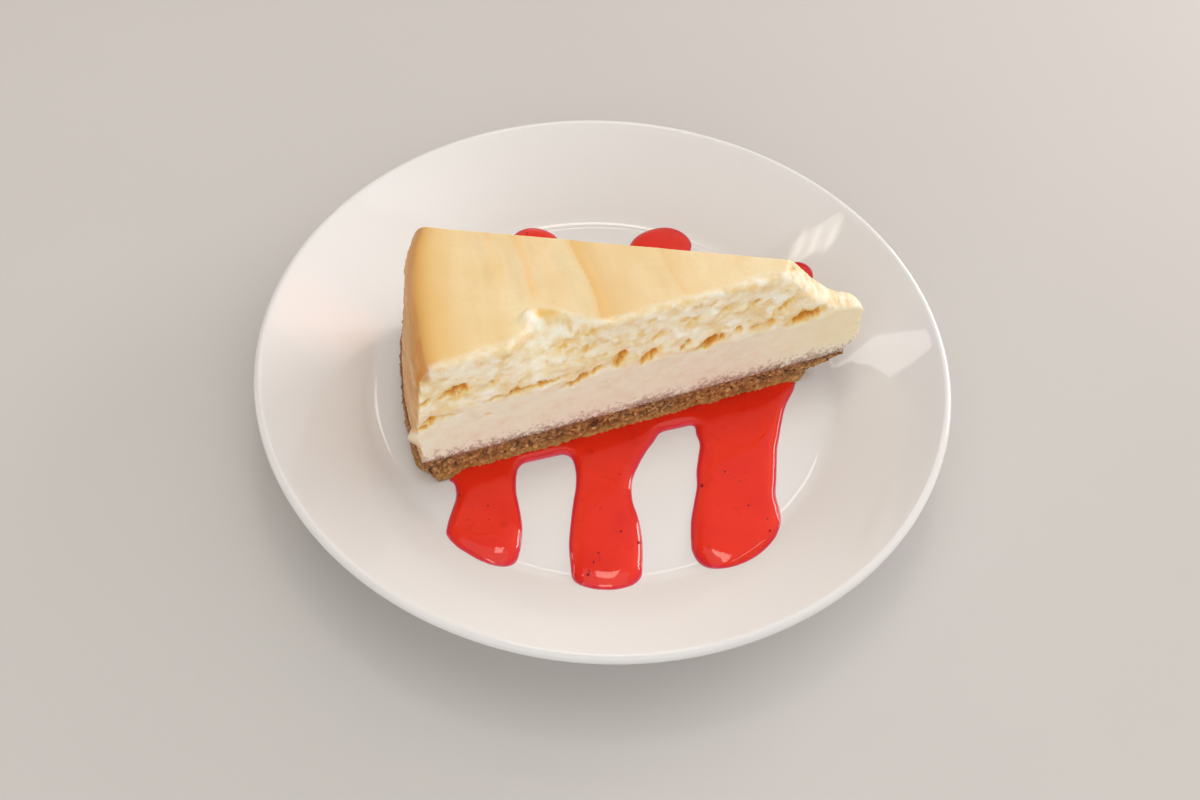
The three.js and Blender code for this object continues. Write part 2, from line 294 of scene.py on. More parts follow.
lip_x = PLATE_RADIUS - LIP_RADIUS
lip_z = RIM_HEIGHT - LIP_RADIUS
crease_to_lip = math.hypot(lip_x - WELL_RADIUS, lip_z - WELL_HEIGHT)
WALL_ANGLE = math.atan2(lip_z - WELL_HEIGHT, lip_x - WELL_RADIUS)
WALL_ANGLE += math.asin(LIP_RADIUS / crease_to_lip)
FILLET_REACH = WELL_FILLET * math.tan(WALL_ANGLE / 2)
FILLET_WIDTH = WELL_FILLET * math.sin(WALL_ANGLE)
flat_edge = WELL_RADIUS - FILLET_REACH
print("plate wall slopes", round(math.degrees(WALL_ANGLE), 1), "degrees")


def plate_top(x, y):
    """Height of the plate's upper face."""
    radius = np.hypot(x, y)
    from_fillet = np.clip(radius - flat_edge, 0, FILLET_WIDTH)
    fillet = WELL_HEIGHT + WELL_FILLET - np.sqrt(WELL_FILLET**2 - from_fillet**2)
    wall = WELL_HEIGHT + (radius - WELL_RADIUS) * math.tan(WALL_ANGLE)
    return np.where(radius < flat_edge + FILLET_WIDTH, fillet, wall)


def arc(x, z, radius, start, end, count):
    """Points of an arc about a centre, from one angle to another, as radius and height."""
    turns = [start + (end - start) * step / count for step in range(count + 1)]
    return [(x + radius * math.cos(turn), z + radius * math.sin(turn)) for turn in turns]


# %% Plate profile, from the middle of the underside to the middle of the well
quarter = math.pi / 2
foot_round = 0.7
foot_fillet = 0.8
foot_inner = FOOT_RADIUS - FOOT_WIDTH
under_wall = LIP_RADIUS / math.cos(WALL_ANGLE)
under_crease = lip_x - (lip_z - under_wall - FOOT_HEIGHT) / math.tan(WALL_ANGLE)
slope = math.tan(WALL_ANGLE)
profile = [(2, FOOT_HEIGHT), (foot_inner - 3, FOOT_HEIGHT), (foot_inner - 1.2, FOOT_HEIGHT)]
profile += arc(foot_inner - foot_fillet, FOOT_HEIGHT - foot_fillet, foot_fillet, quarter, 0, 4)
profile += arc(foot_inner + foot_round, foot_round, foot_round, 2 * quarter, 3 * quarter, 5)
profile += arc(FOOT_RADIUS - foot_round, foot_round, foot_round, -quarter, 0, 5)
profile += arc(FOOT_RADIUS + foot_fillet, FOOT_HEIGHT - foot_fillet, foot_fillet, 2 * quarter, quarter, 4)
profile += [(FOOT_RADIUS + 1.2, FOOT_HEIGHT), (under_crease - 1.5, FOOT_HEIGHT)]
profile += [(under_crease - 0.5, FOOT_HEIGHT + 0.1)]
profile += [(under_crease + 0.5, FOOT_HEIGHT + 0.1 + 0.5 * slope)]
profile += [(under_crease + 2, FOOT_HEIGHT + 2 * slope), (lip_x - 2, lip_z - under_wall - 2 * slope)]
profile += arc(lip_x, lip_z, LIP_RADIUS, WALL_ANGLE - quarter, WALL_ANGLE + quarter, LIP_STEPS)
inner_wall = [(lip_x - LIP_RADIUS * math.sin(WALL_ANGLE) - 1.5, 0), (WELL_RADIUS + 6, 0)]
profile += [(radius, float(plate_top(radius, 0))) for radius, _ in inner_wall]
for step in range(FILLET_STEPS + 1):
    turn = WALL_ANGLE * (1 - step / FILLET_STEPS)
    radius = flat_edge + WELL_FILLET * math.sin(turn)
    profile.append((radius, WELL_HEIGHT + WELL_FILLET * (1 - math.cos(turn))))
profile += [(flat_edge - 1, WELL_HEIGHT), (flat_edge - 8, WELL_HEIGHT), (2, WELL_HEIGHT)]
print("plate profile has", len(profile), "rings")

# %% Turn the plate
deselect()
bpy.ops.mesh.primitive_circle_add(
    vertices=PLATE_SIDES, radius=profile[0][0] * MM, fill_type="NOTHING",
    location=(0, 0, profile[0][1] * MM),
)
plate = named("porcelain_plate")
all_selected(plate, "EDGE")
bpy.ops.mesh.edge_face_add()
for (radius, height), (next_radius, next_height) in zip(profile, profile[1:]):
    rise = (next_height - height) * MM
    bpy.ops.mesh.extrude_region_move(TRANSFORM_OT_translate={"value": (0, 0, rise)})
    wider = next_radius / radius
    bpy.ops.transform.resize(value=(wider, wider, 1), center_override=(0, 0, next_height * MM))
deselect()
print("plate:", triangles(plate), "triangles", [round(v / MM, 2) for v in plate.dimensions])


# %% [markdown]
# ## The whole cake, and the cuts
# The slice is made as the baker makes it. The filling starts as a cylinder, the whole cake in its
# tin. Its top is a little narrower than its foot, because it shrank as it cooled, and the top edge
# is bevelled round. Then three bisects cut it: the two sides of the wedge, and the broken tip. The
# crumb base is a second, lower cylinder that is cut by the same knife.

# %% Cake sizes
CAKE_X = 71.0
CAKE_RADIUS = 127.5
WALL_FOOT_RADIUS = 126.9
WALL_TOP_RADIUS = 123.7
TOP_EDGE_RADIUS = 3.5
SLICE_TOP = 49.0
CRUST_TOP = 16.4
CRUST_BOTTOM = 7.2
FILLING_BOTTOM = 15.9
OUTER_X = -50.3
NEAR_FOOT_Y = -28.6
NEAR_TURN = math.radians(12.1)
FAR_FOOT_Y = 27.9
FAR_TURN = math.radians(-12.5)
TIP_X = 72.0
CAKE_SIDES = 512


def near_line(x):
    """The near cut at the foot of the slice."""
    return NEAR_FOOT_Y + (x - OUTER_X) * math.tan(NEAR_TURN)


def far_line(x):
    """The far cut at the foot of the slice."""
    return FAR_FOOT_Y + (x - OUTER_X) * math.tan(FAR_TURN)


def whole_cake(name, radius, bottom, top):
    """A whole cake, or its base, as a cylinder."""
    deselect()
    bpy.ops.mesh.primitive_cylinder_add(
        vertices=CAKE_SIDES, radius=radius * MM, depth=(top - bottom) * MM,
        location=(CAKE_X * MM, 0, (top + bottom) / 2 * MM),
    )
    return named(name)


def knife(piece, point, normal):
    """Cuts off what lies on the side that the normal points to, and closes the cut."""
    all_selected(piece)
    bpy.ops.mesh.bisect(plane_co=Vector(point) * MM, plane_no=normal, use_fill=True, clear_outer=True)
    deselect()


def cut_wedge(piece):
    knife(piece, (OUTER_X, NEAR_FOOT_Y, 0), (math.sin(NEAR_TURN), -math.cos(NEAR_TURN), 0))
    knife(piece, (OUTER_X, FAR_FOOT_Y, 0), (-math.sin(FAR_TURN), math.cos(FAR_TURN), 0))
    knife(piece, (TIP_X, 0, 0), (1, 0, 0))


# %% Filling as a plain wedge
filling = whole_cake("cheesecake_filling", WALL_FOOT_RADIUS, FILLING_BOTTOM, SLICE_TOP)
pick(filling, face_table(filling, "normal")[:, 2] > 0.9)
shrunk = WALL_TOP_RADIUS / WALL_FOOT_RADIUS
bpy.ops.transform.resize(value=(shrunk, shrunk, 1), center_override=(CAKE_X * MM, 0, SLICE_TOP * MM))
bpy.ops.mesh.bevel(offset=TOP_EDGE_RADIUS * MM, segments=10)
cut_wedge(filling)
print("plain wedge:", [round(v / MM, 1) for v in filling.dimensions], "mm")

# %% [markdown]
# A plain wedge has too few faces to carve. The Remesh modifier turns it into even little squares,
# fine enough for curd of a millimetre or two. What is finer than that is left to the material.

# %% Remesh the wedge
FILLING_GRAIN = 0.455
modify(filling, "REMESH", mode="VOXEL", voxel_size=FILLING_GRAIN * MM, adaptivity=0)
print("filling to carve:", triangles(filling), "triangles")

# %% [markdown]
# ## Carving the filling
# The knife went through a cake that was smooth and dense below and drier above, so it dragged the
# upper half with it. That half leans back from the cut, and it has a row of cracks along its foot, a
# bite out of the skin, and lumps all over. All of that is carved here by moving the vertices, each
# by a distance that depends only on where it is.

# %% Carving sizes
SHELF_Z = 33.0
NEAR_LEAN = 3.5
NEAR_LEAN_GROWTH = 0.012
FAR_LEAN = 1.3
FAR_LEAN_GROWTH = 0.009
TIP_FADE_X = 56.0
TIP_LEAN = 0.4
EDGE_RADIUS = 1.3
BITE = {"x": -19.0, "outer_width": 11.0, "inner_width": 15.5, "depth": 6.8, "floor_z": 38.0}
BITE_ROUND = 3.0
BITE_RIDGE = {"x": -23.2, "y": -12.6, "slope": -0.41, "half_width": 2.8, "height": 0.9}
BROKEN_TIP = [(47, 49), (50.5, 46.6), (54.5, 42.6), (58, 39.6), (62, 37.6), (67, 36.9), (72, 35.6)]
TIP_FRONT = [(16, 69.2), (19.5, 71.4), (25, 72), (30, 71.4), (34, 70.2), (37, 68.4)]


def along(table, position, column=1):
    """Value of a table of (position, value, ...) rows at each position, on a smooth curve."""
    rows = np.array(table, float)
    stops, values = rows[:, 0], rows[:, column]
    before = np.maximum(np.arange(len(rows)) - 1, 0)
    after = np.minimum(np.arange(len(rows)) + 1, len(rows) - 1)
    slopes = (values[after] - values[before]) / (stops[after] - stops[before])
    at = np.clip(position, stops[0], stops[-1])
    row = np.clip(np.searchsorted(stops, at, side="left") - 1, 0, len(rows) - 2)
    span = stops[row + 1] - stops[row]
    share = (at - stops[row]) / span
    square, cube = share**2, share**3
    return (
        (2 * cube - 3 * square + 1) * values[row] + (cube - 2 * square + share) * slopes[row] * span
        + (3 * square - 2 * cube) * values[row + 1] + (cube - square) * slopes[row + 1] * span
    )


def cut_lean(x, z, lean, growth):
    """How far a cut's torn half leans back."""
    fade = TIP_LEAN + (1 - TIP_LEAN) * (1 - ramp(x, TIP_FADE_X, TIP_X))
    return (lean + growth * (x - OUTER_X)) * ramp(z, SHELF_Z, SLICE_TOP) * fade


# %% Skin: long soft folds where it sagged as it cooled
# A row is a fold's middle at the far and the near edge, its rise and its fall, its height, how far
# the painted shade behind it fades out, and where it starts and ends across the slice
SKIN_FOLDS = [
    (-30.8, -29.5, 3.0, 2.0, 0.25, 1.8, 2, 32),
    (-25.6, -17.5, 4.0, 2.6, 0.35, 2.4, -8, 32),
    (-20.0, -12.0, 3.0, 2.0, 0.12, 1.2, 0, 32),
    (-10.5, -2.0, 7.0, 4.0, 0.5, 7.0, -17, 32),
    (10.5, 23.0, 6.0, 3.5, 0.25, 4.0, -9, 16),
]
FOLD_WOBBLE = 0.5
FOLD_WOBBLES_PER_MM = 0.21
FOLD_AT_EDGE = 0.3


def skin_folds(x, y):
    """Height that the folds add, and the painted shade on the steep side of each one and behind it."""
    total = np.zeros_like(x)
    shade = np.zeros_like(x)
    share = (y - NEAR_FOOT_Y) / (FAR_FOOT_Y - NEAR_FOOT_Y)
    for far, near, rise, fall, high, fading, from_y, to_y in SKIN_FOLDS:
        wobble = FOLD_WOBBLE * np.sin(FOLD_WOBBLES_PER_MM * y + far)
        side = x - near - (far - near) * share - wobble
        here = high * ramp(y, from_y - 3, from_y + 4) * (1 - ramp(y, to_y - 4, to_y + 3))
        total += here * ramp(side, -rise, 0) * (1 - ramp(side, 0, fall))
        # Painted shade: darker gold on a fold's steep side, fading out behind it
        steep = 0.7 * bump((side - fall / 2) / fall)
        behind = np.exp(-np.maximum(side, 0) / fading) * ramp(side, 0, 0.6)
        shade += here * np.maximum(steep, behind)
    return total, shade


# %% [markdown]
# The cracks are the marks that the eye finds first on this cut: a broken row of hollows along the
# foot of the torn half, with one long line crack and two deep orange ones near the tip. A row like
# that isn't regular, so each hollow is listed, as its place on the cut, its half length and half
# height, its depth and its slope.

# %% Cracks on the near cut
CRACKS = [
    (-48.1, 32.4, 2.1, 1.3, 1.5, 0.7), (-44.2, 33.7, 2.3, 0.6, 0.9, -0.1), (-41.5, 40.4, 3.0, 1.0, 2.0, 0.0),
    (-44.4, 39.6, 1.6, 0.7, 1.2, 0.4), (-49.6, 38.5, 1.4, 0.6, 1.1, 0.4), (-35.4, 29.2, 0.9, 0.6, 0.9, 0.0),
    (-24.5, 36.0, 8.8, 0.55, 1.7, 0.05), (-32.5, 40.6, 1.6, 0.8, 1.0, 0.3),
    (-11.2, 34.2, 3.2, 0.9, 2.0, 0.35),
    (-4.3, 30.2, 0.8, 0.4, 0.7, 0.0), (-5.2, 36.4, 1.7, 0.8, 1.3, 0.3), (0.6, 37.6, 1.8, 1.7, 1.8, 0.4),
    (8.6, 35.9, 2.8, 1.0, 1.9, 0.35), (18.6, 36.6, 1.5, 0.7, 1.1, 0.3), (25.8, 35.4, 3.4, 1.1, 2.6, 0.3),
    (33.2, 36.8, 1.9, 0.9, 1.4, 0.35), (38.4, 36.2, 1.6, 0.6, 1.0, 0.1), (42.8, 36.5, 1.3, 1.0, 1.3, 0.0),
    (53.2, 35.8, 4.0, 1.2, 2.6, 0.12), (46.5, 40.5, 3.2, 0.8, 1.2, 0.45), (-18.0, 46.8, 2.0, 1.1, 0.7, 0.2),
    (-12.5, 47.2, 2.6, 0.9, 0.8, 0.1), (-7.4, 46.2, 2.2, 1.0, 0.7, 0.3), (-13.5, 43.6, 2.6, 0.7, 0.8, 0.4),
    (-8.0, 42.2, 2.2, 0.8, 0.7, 0.35), (20.0, 42.5, 2.6, 0.7, 0.7, 0.3), (29.5, 43.6, 2.0, 0.8, 0.7, 0.3),
    (37.5, 42.8, 2.2, 0.7, 0.8, 0.3), (11.0, 41.2, 1.8, 0.8, 0.6, 0.3),
]
CRACK_WANDER = {"beside": 1.4, "above": 0.8}
CRACK_RAGGED = 0.5


def crack_depth(x, z, wander, ragged):
    """Depth of the cracks at a place on the cut, with edges that wander and a floor that is ragged."""
    depth = np.zeros_like(x)
    for middle_x, middle_z, half_length, half_height, deep, tilt in CRACKS:
        from_line = z - middle_z - tilt * (x - middle_x)
        beside = (x - middle_x + CRACK_WANDER["beside"] * wander) / half_length
        above = (from_line + CRACK_WANDER["above"] * wander + CRACK_RAGGED * ragged) / half_height
        depth = np.maximum(depth, deep * np.exp(-(beside**2) - above**2))
    return depth * np.clip(0.95 + 1.1 * ragged, 0.35, 1.3)


# %% [markdown]
# Torn curd is clots of two to four millimetres with sharp gaps between them, finer grains on them,
# and here and there a pit. Noise is round and smooth, but its absolute value has sharp valleys, as
# the gaps have. The pits are drawn out along the way that the knife went.

# %% Torn curd
CURD_SIZE = {"soft": 7.0, "clots": 3.6, "grains": 1.6, "tears": 2.2, "patches": 9.0}
CURD_HEIGHT = {"soft": 0.45, "grains": 0.2, "shaded_pit": 0.45}
CURD_MIDDLE = 0.36


def curd(across, up, side):
    """Relief of torn curd at a place on a face, and how deep in a dip of it the place lies, which is painted
    as shade.
    """
    def at(shift, width=1.0, rise=up):
        return np.column_stack((width * across, np.full_like(across, side + shift), rise))

    soft = waves(at(0), CURD_SIZE["soft"], 2)
    clots = np.abs(waves(at(5, rise=1.3 * up), CURD_SIZE["clots"], 3))
    grains = np.abs(waves(at(9), CURD_SIZE["grains"], 2))
    tears = waves(at(20, 0.55, up - 0.3 * across), CURD_SIZE["tears"], 3)
    rough = 0.65 + 0.5 * waves(at(40), CURD_SIZE["patches"], 2)
    shaded_pit = ramp(tears, 0.34, 0.66)
    relief = CURD_HEIGHT["soft"] * soft - CURD_HEIGHT["shaded_pit"] * shaded_pit
    relief += rough * (clots + CURD_HEIGHT["grains"] * grains - CURD_MIDDLE)
    return relief, shaded_pit


# %% Where each vertex lies on the slice
raw = places(filling)
facing = directions(filling)
x, y, z = raw.T
width = far_line(x) - near_line(x)
across = (y - near_line(x)) / width
broad = waves(raw, 14.0, 2)
far_lean = cut_lean(x, SLICE_TOP, FAR_LEAN, FAR_LEAN_GROWTH)
top_width = width - cut_lean(x, SLICE_TOP, NEAR_LEAN, NEAR_LEAN_GROWTH) - far_lean
top_y = far_line(x) - far_lean - top_width * (1 - across)
from_near = np.clip(across, 0, 1) * top_width
from_far = np.clip(1 - across, 0, 1) * top_width
bitten = bump((x - BITE["x"]) / np.where(x < BITE["x"], BITE["outer_width"], BITE["inner_width"]))
print("the top is", round(top_width.min(), 1), "to", round(top_width.max(), 1), "mm wide")

# %% [markdown]
# The skin sank a little as it cooled, and a fold never stands higher than the rim of the tin, so
# what would rise above that level is pressed flat. Beside the bite the knife pushed up a ridge. Where
# the tip broke off, the skin ends on a slanting line and the curd falls away in a lumpy slope.

# %% Carve the top
SKIN_SINK = 0.35
SKIN_LEVEL = 48.95
SKIN_ROOM = 0.5
SKIN_WAVES = 0.2
SKIN_END_SKEW = 0.44
SKIN_END_X = (46.4, 48.2)
TIP_ROUGH = 1.1
FRAY = {"from": 0.6, "to": 3.2, "waves": 1.6, "curd": 0.9, "rough": 0.4}

skewed_x = x - SKIN_END_SKEW * top_y
past_skin = ramp(skewed_x, *SKIN_END_X)
fallen = SLICE_TOP - along(BROKEN_TIP, skewed_x)
tip_curd, tip_pit = curd(x + fallen, top_y, 40.0)
fray_edge = from_near + FRAY["waves"] * broad + FRAY["curd"] * tip_curd - BITE_ROUND * bitten
frayed = 1 - ramp(fray_edge, FRAY["from"], FRAY["to"])
ridge_x = BITE_RIDGE["x"] + BITE_RIDGE["slope"] * (top_y - BITE_RIDGE["y"])
ridge = bump((x - ridge_x) / BITE_RIDGE["half_width"])
ridge *= 1 - ramp(top_y, BITE_RIDGE["y"] - 1, BITE_RIDGE["y"] + 2)
folded, fold_shade = skin_folds(x, top_y)
folded *= FOLD_AT_EDGE + (1 - FOLD_AT_EDGE) * ramp(from_far, 0, 7)
top = SLICE_TOP - SKIN_SINK - fallen + folded + SKIN_WAVES * broad * ramp(from_far, 0, 9)
top += BITE_RIDGE["height"] * ridge
top += np.maximum(TIP_ROUGH * past_skin, FRAY["rough"] * frayed) * tip_curd
above = np.maximum(top - SKIN_LEVEL, 0)
top -= above - SKIN_ROOM * np.tanh(above / SKIN_ROOM)
print("the skin stands up to", round(top.max(), 2), "mm high")

# Its edges are rounded, and all that lies below is squeezed or stretched with it
top -= drop(from_near, EDGE_RADIUS + BITE_ROUND * bitten) + drop(from_far, EDGE_RADIUS)
height = FILLING_BOTTOM + (top - FILLING_BOTTOM) * (z - FILLING_BOTTOM) / (SLICE_TOP - FILLING_BOTTOM)
x = x - (TIP_X - along(TIP_FRONT, height)) * ramp(x, 58, TIP_X)

# %% Carve the two cuts: their lean, the bite, the cracks, and the relief of the torn curd
TORN_FROM = 34.2
TORN_FULL = 37.6
TORN_DRIFT = 2.2
FAR_TORN_TO = (44.0, 48.0)
FAR_CURD = 0.8
LIP = {"out": 0.35, "above": 0.6, "half_height": 1.8}
SMOOTH_CUT_WAVES = 0.12

on_face = np.column_stack((x, np.zeros_like(x), height))
wander = waves(on_face, 2.6, 3)
ragged = waves(on_face + 30.0, 1.3, 2)
drifted = height + TORN_DRIFT * waves(on_face, 11.0, 2)
torn = ramp(drifted + 0.5 * wander, TORN_FROM, TORN_FULL)
far_torn = torn * (1 - ramp(height, *FAR_TORN_TO))
crack = crack_depth(x, height, wander, ragged)
lip = LIP["out"] * bump((drifted - TORN_FROM - LIP["above"]) / LIP["half_height"]) * (0.7 + 0.6 * wander)
near_smooth = cut_lean(x, height, NEAR_LEAN, NEAR_LEAN_GROWTH)
near_smooth += BITE["depth"] * bitten * ramp(height, BITE["floor_z"], SLICE_TOP)
near_curd, near_pit = curd(x, height + near_smooth, 0.0)
far_curd, far_pit = curd(x, height, 80.0)
near_y = near_line(x) + near_smooth + crack - lip - torn * near_curd
near_y -= SMOOTH_CUT_WAVES * (1 - torn) * wander
far_y = far_line(x) - cut_lean(x, height, FAR_LEAN, FAR_LEAN_GROWTH) + FAR_CURD * far_torn * far_curd
y = near_y + (far_y - near_y) * across
print("the deepest crack goes in by", round(crack.max(), 1), "mm")

# %% [markdown]
# The wall leans out a little towards the near corner, where the slice was pressed as it was set
# down, and a lump of filling has squeezed out above the crust there. The tin left shallow chips in
# it. The end of the tip has crumbled.

# %% Carve the outer wall and the end of the tip
NEAR_FLARE = {"out": 2.2, "from_y": 6.0, "to_y": 26.0}
FAR_FLARE = {"out": -1.2, "from_y": 17.0, "to_y": 27.0}
FLARE_Z = (18.0, 31.0)
LUMP = {"z": 27.0, "half_height": 5.0, "y": -29.5, "half_width": 4.5, "out": 3.0}
WALL_WAVES = 0.25
WALL_CHIPS = 0.45
TIP_END_X = (66.5, 70.5)
TIP_END_CURD = 1.9
TIP_END_MIDDLE = 0.45

flare = NEAR_FLARE["out"] * ramp(-y, NEAR_FLARE["from_y"], NEAR_FLARE["to_y"])
flare += FAR_FLARE["out"] * ramp(y, FAR_FLARE["from_y"], FAR_FLARE["to_y"])
flare *= ramp(height, *FLARE_Z) * (1 - ramp(x, OUTER_X - 6, OUTER_X + 14))
lump = LUMP["out"] * bump((height - LUMP["z"]) / LUMP["half_height"])
lump *= bump((y - LUMP["y"]) / LUMP["half_width"])
chips = waves(np.column_stack((np.zeros_like(x), y, height)), 2.4, 3) * ramp(height, 17, 22)
on_wall = ramp(-facing[:, 0], 0.55, 0.9)
x = x - flare - on_wall * (lump + WALL_WAVES * broad + WALL_CHIPS * chips)
end_curd, _ = curd(y, height, 150.0)
tip_end = ramp(x, *TIP_END_X)
x = x + TIP_END_CURD * tip_end * (end_curd - TIP_END_MIDDLE)
move_to(filling, np.column_stack((x, y, height)))

# %% Keep what the filling's material needs
SKIN_RADIUS = 121.3
DEEPEST = 1.35

near_half = across < 0.5
on_cut = ramp(np.where(near_half, -facing[:, 1], facing[:, 1]), 0.4, 0.8)
upward = ramp(facing[:, 2], 0.3, 0.8)
outward = ramp(-facing[:, 0], 0.18, 0.5)
bare = np.maximum(np.maximum(past_skin, frayed), ridge)
# Pits and cracks, which the material paints golden and orange: painted shade and glow
pit_shade = np.where(near_half, np.maximum(0.4 * torn * near_pit, crack / DEEPEST), 0.4 * far_torn * far_pit)
dent = bitten * frayed * (1 - ridge) * ramp(tip_curd, 0.35, -0.25) * ramp(from_near, 0, 3)
top_pit_shade = np.maximum(0.5 * dent, 0.25 * tip_pit * bare)
# How high the curd stands, which the material paints pale as a highlight, and darker where low as shade
crest_highlight = np.where(near_half, near_curd, far_curd) * on_cut + tip_curd * upward

# Where the oven scorched it: the corner of wall and cut, and the skin's rim beside the tin
corner = outward * ramp(height, 39.5, 43) * (1 - ramp(y - near_y, 0.6, 2.8))
radius = np.hypot(CAKE_X - x, y) - flare
rim_band = ramp(radius, SKIN_RADIUS - 1.0, SKIN_RADIUS)
rim_band *= 1 - ramp(radius, SKIN_RADIUS + 0.8, SKIN_RADIUS + 1.8)
rim_band *= ramp(-top_y, 9, 15) * ramp(height, 44, 46)
rim_gold = 0.36 * ramp(radius, SKIN_RADIUS - 4.5, SKIN_RADIUS) * upward
for name, share in {
    "skin": upward * (1 - bare),
    "wall": outward * (1 - 0.25 * lump),
    "torn": np.maximum(torn * on_cut, bare * ramp(height, 33, 36)),
    "hollow_shade_glow": np.maximum(pit_shade * on_cut, top_pit_shade * upward),
    "crest_highlight": ramp(np.maximum(np.maximum(crest_highlight, tip_end), ridge), -0.35, 0.3),
    "fold_shading": fold_shade,
    "scorched": np.maximum(0.7 * np.maximum(corner, rim_band), rim_gold),
}.items():
    write(filling, name, np.clip(share, 0, 1))

all_selected(filling)
bpy.ops.mesh.normals_make_consistent(inside=False)
only(filling)
bpy.ops.object.shade_smooth()
print("filling:", triangles(filling), "triangles", [round(v / MM, 1) for v in filling.dimensions], "mm")

# %% [markdown]
# ## The crumb base
# Biscuit crumbs and butter, pressed into the tin: dense, but made of grains of one or two
# millimetres, so its sides are rough all over. It is cut by the same knife, its near outer corner is
# worn back, and under the tip it has crumbled away.

# %% Crumb base as a plain wedge
CRUST_GRAIN = 0.36

crust = whole_cake("crumb_base_fine", CAKE_RADIUS, CRUST_BOTTOM, CRUST_TOP)
cut_wedge(crust)
modify(crust, "REMESH", mode="VOXEL", voxel_size=CRUST_GRAIN * MM, adaptivity=0)
print("crust to carve:", triangles(crust), "triangles")

# %% Crumble it away under the tip, and wear its corner
CORNER_WEAR = 4.5
CORNER_WEAR_WIDTH = 6.0
CRUST_END_X = 68.5
CRUST_END_Z = 14.4
CRUMBLED_X = 55.5
CRUMBLED_LENGTH = 3.0
CRUMBLED_Z = 12.2

facing = directions(crust)
x, y, z = places(crust).T
across = (y - near_line(x)) / (far_line(x) - near_line(x))
share = (z - CRUST_BOTTOM) / (CRUST_TOP - CRUST_BOTTOM)
shortened = (CRUST_END_X - CRUMBLED_X) / (TIP_X - CRUMBLED_X)
x = np.where(x > CRUMBLED_X, CRUMBLED_X + (x - CRUMBLED_X) * shortened, x)
crumbled = ramp(x, CRUMBLED_X, CRUMBLED_X + CRUMBLED_LENGTH)
last = ramp(x, CRUMBLED_X + CRUMBLED_LENGTH, CRUST_END_X)
bottom = CRUST_BOTTOM + (CRUMBLED_Z - CRUST_BOTTOM) * crumbled
bottom += (CRUST_END_Z - bottom) * last * crumbled
y = near_line(x) + (far_line(x) - near_line(x)) * across
z = bottom + (CRUST_TOP - bottom) * share
wear = CORNER_WEAR * bump((y - NEAR_FOOT_Y) / CORNER_WEAR_WIDTH) * (1 - share) * ramp(-x, 40, 50)
placed = np.column_stack((x + wear, y, z))
print("crumb base ends", round(np.max(x), 1), "mm to the right of the plate's middle")

# %% Roughen its sides with grains of two sizes
COARSE_GRAIN = 2.1
FINE_GRAIN = 0.95
GAP_BETWEEN_GRAINS = 0.3

warp = waves(placed, 2.0, 2)
coarse_middle, coarse_between = lumps(placed + 0.5 * warp[:, None], COARSE_GRAIN)
fine_middle, _ = lumps(placed + 7.0, FINE_GRAIN)
fine = waves(placed, 1.3, 3)
rough = 0.35 * (0.5 - coarse_middle) - GAP_BETWEEN_GRAINS * (1 - ramp(coarse_between, 0.0, 0.2))
rough += 0.4 * (0.5 - fine_middle) + 0.3 * fine + 0.4 * waves(placed, 5.0, 2) - 0.15
side = 1 - ramp(np.abs(facing[:, 2]), 0.6, 0.95)
placed += facing * (rough * side)[:, None]
placed[:, 2] += (1 - side) * ramp(z, 12, 16) * 0.35 * fine
move_to(crust, placed)
# How deep each place lies between the grains, which the material paints dark as shade
write(crust, "shaded_pit", np.clip(-rough, 0, 1))
only(crust)
bpy.ops.object.shade_smooth()
print("crumb base:", triangles(crust), "triangles", [round(v / MM, 1) for v in crust.dimensions], "mm")

# %% [markdown]
# ## The sauce
# The sauce was poured in three bands, the slice was set down on them, and its weight pressed a strip
# of sauce out along the near cut. A liquid's edge is its signature: the outline has no corners, and
# the surface rises from it in a round bead before it goes flat. So the outline is worked out first,
# as the place where a smooth function of the plan is zero. The depth then comes from the law that a
# thin liquid at rest follows: its skin pulls each place towards the height of the places around it,
# and its weight pulls it towards one level. At SAUCE_BEAD from the edge it has nearly two thirds of
# its depth.

# %% Sauce outline
SAUCE_GRAIN = 0.45
SAUCE_DEPTH = 1.7
SAUCE_FILM = 0.4
SAUCE_BEAD = 1.5
SAUCE_RIM = 0.12
SAUCE_ROUNDS = 400
SAUCE_ON_PLATE = 0.02
SAUCE_BLEND = 2.4
SAUCE_SWELL = 0.8
SAUCE_SWELL_LENGTH = 22.0
SAUCE_ON_WALL = 0.6
SAUCE_LEVEL_BLEND = 0.3
SAUCE_BANDS = [
    {
        "near": -57.2, "near_round": 6, "far": 63.4, "far_round": 7,
        "rows": [
            (-57.2, -34.4, 6), (-53, -36.1, 6.8), (-50, -37.2, 8.4), (-46, -37.9, 9.8), (-42, -37.6, 9.6),
            (-38, -37, 8.8), (-34, -36.4, 8), (-30, -36.2, 8.2), (-27, -36.3, 9), (30, -19.5, 8.5),
            (54, -13.6, 8), (63.4, -13.2, 7.6),
        ],
    },
    {
        "near": -67.6, "near_round": 6, "far": 59.4, "far_round": 9,
        "rows": [
            (-67.6, -7.6, 8.8), (-62, -8, 9.1), (-58, -7.6, 9.4), (-52, -7, 9.6), (-46, -6.4, 9),
            (-40, -6, 8), (-34, -4.7, 7.7), (-29, -3.1, 8.7), (-25, -2, 10.3), (-20, -1.4, 13.4),
            (30, 15.5, 9), (50, 25, 10), (59.4, 26.2, 9.8),
        ],
    },
    {
        "near": -65, "near_round": 8.5, "far": 36.6, "far_round": 8,
        "rows": [
            (-65, 23.0, 9.9), (-60, 24.9, 10.4), (-56, 26.4, 11.4), (-52, 27.7, 12.1), (-48, 28.5, 12),
            (-43, 29.4, 11.2), (-38, 30.9, 11), (-33, 32, 11.2), (-28, 33.4, 11.1), (-24, 34.7, 11.3),
            (-20, 35.3, 12.2), (-14, 37.5, 12.6), (-7, 42, 12.5), (15, 53, 9.5), (30, 60.6, 7.6),
            (36.6, 62.4, 6.6),
        ],
    },
]
STRIP = {"from_x": -45.0, "to_x": 44.0, "reach": 0.4, "reach_growth": 0.055, "under": 9.0}


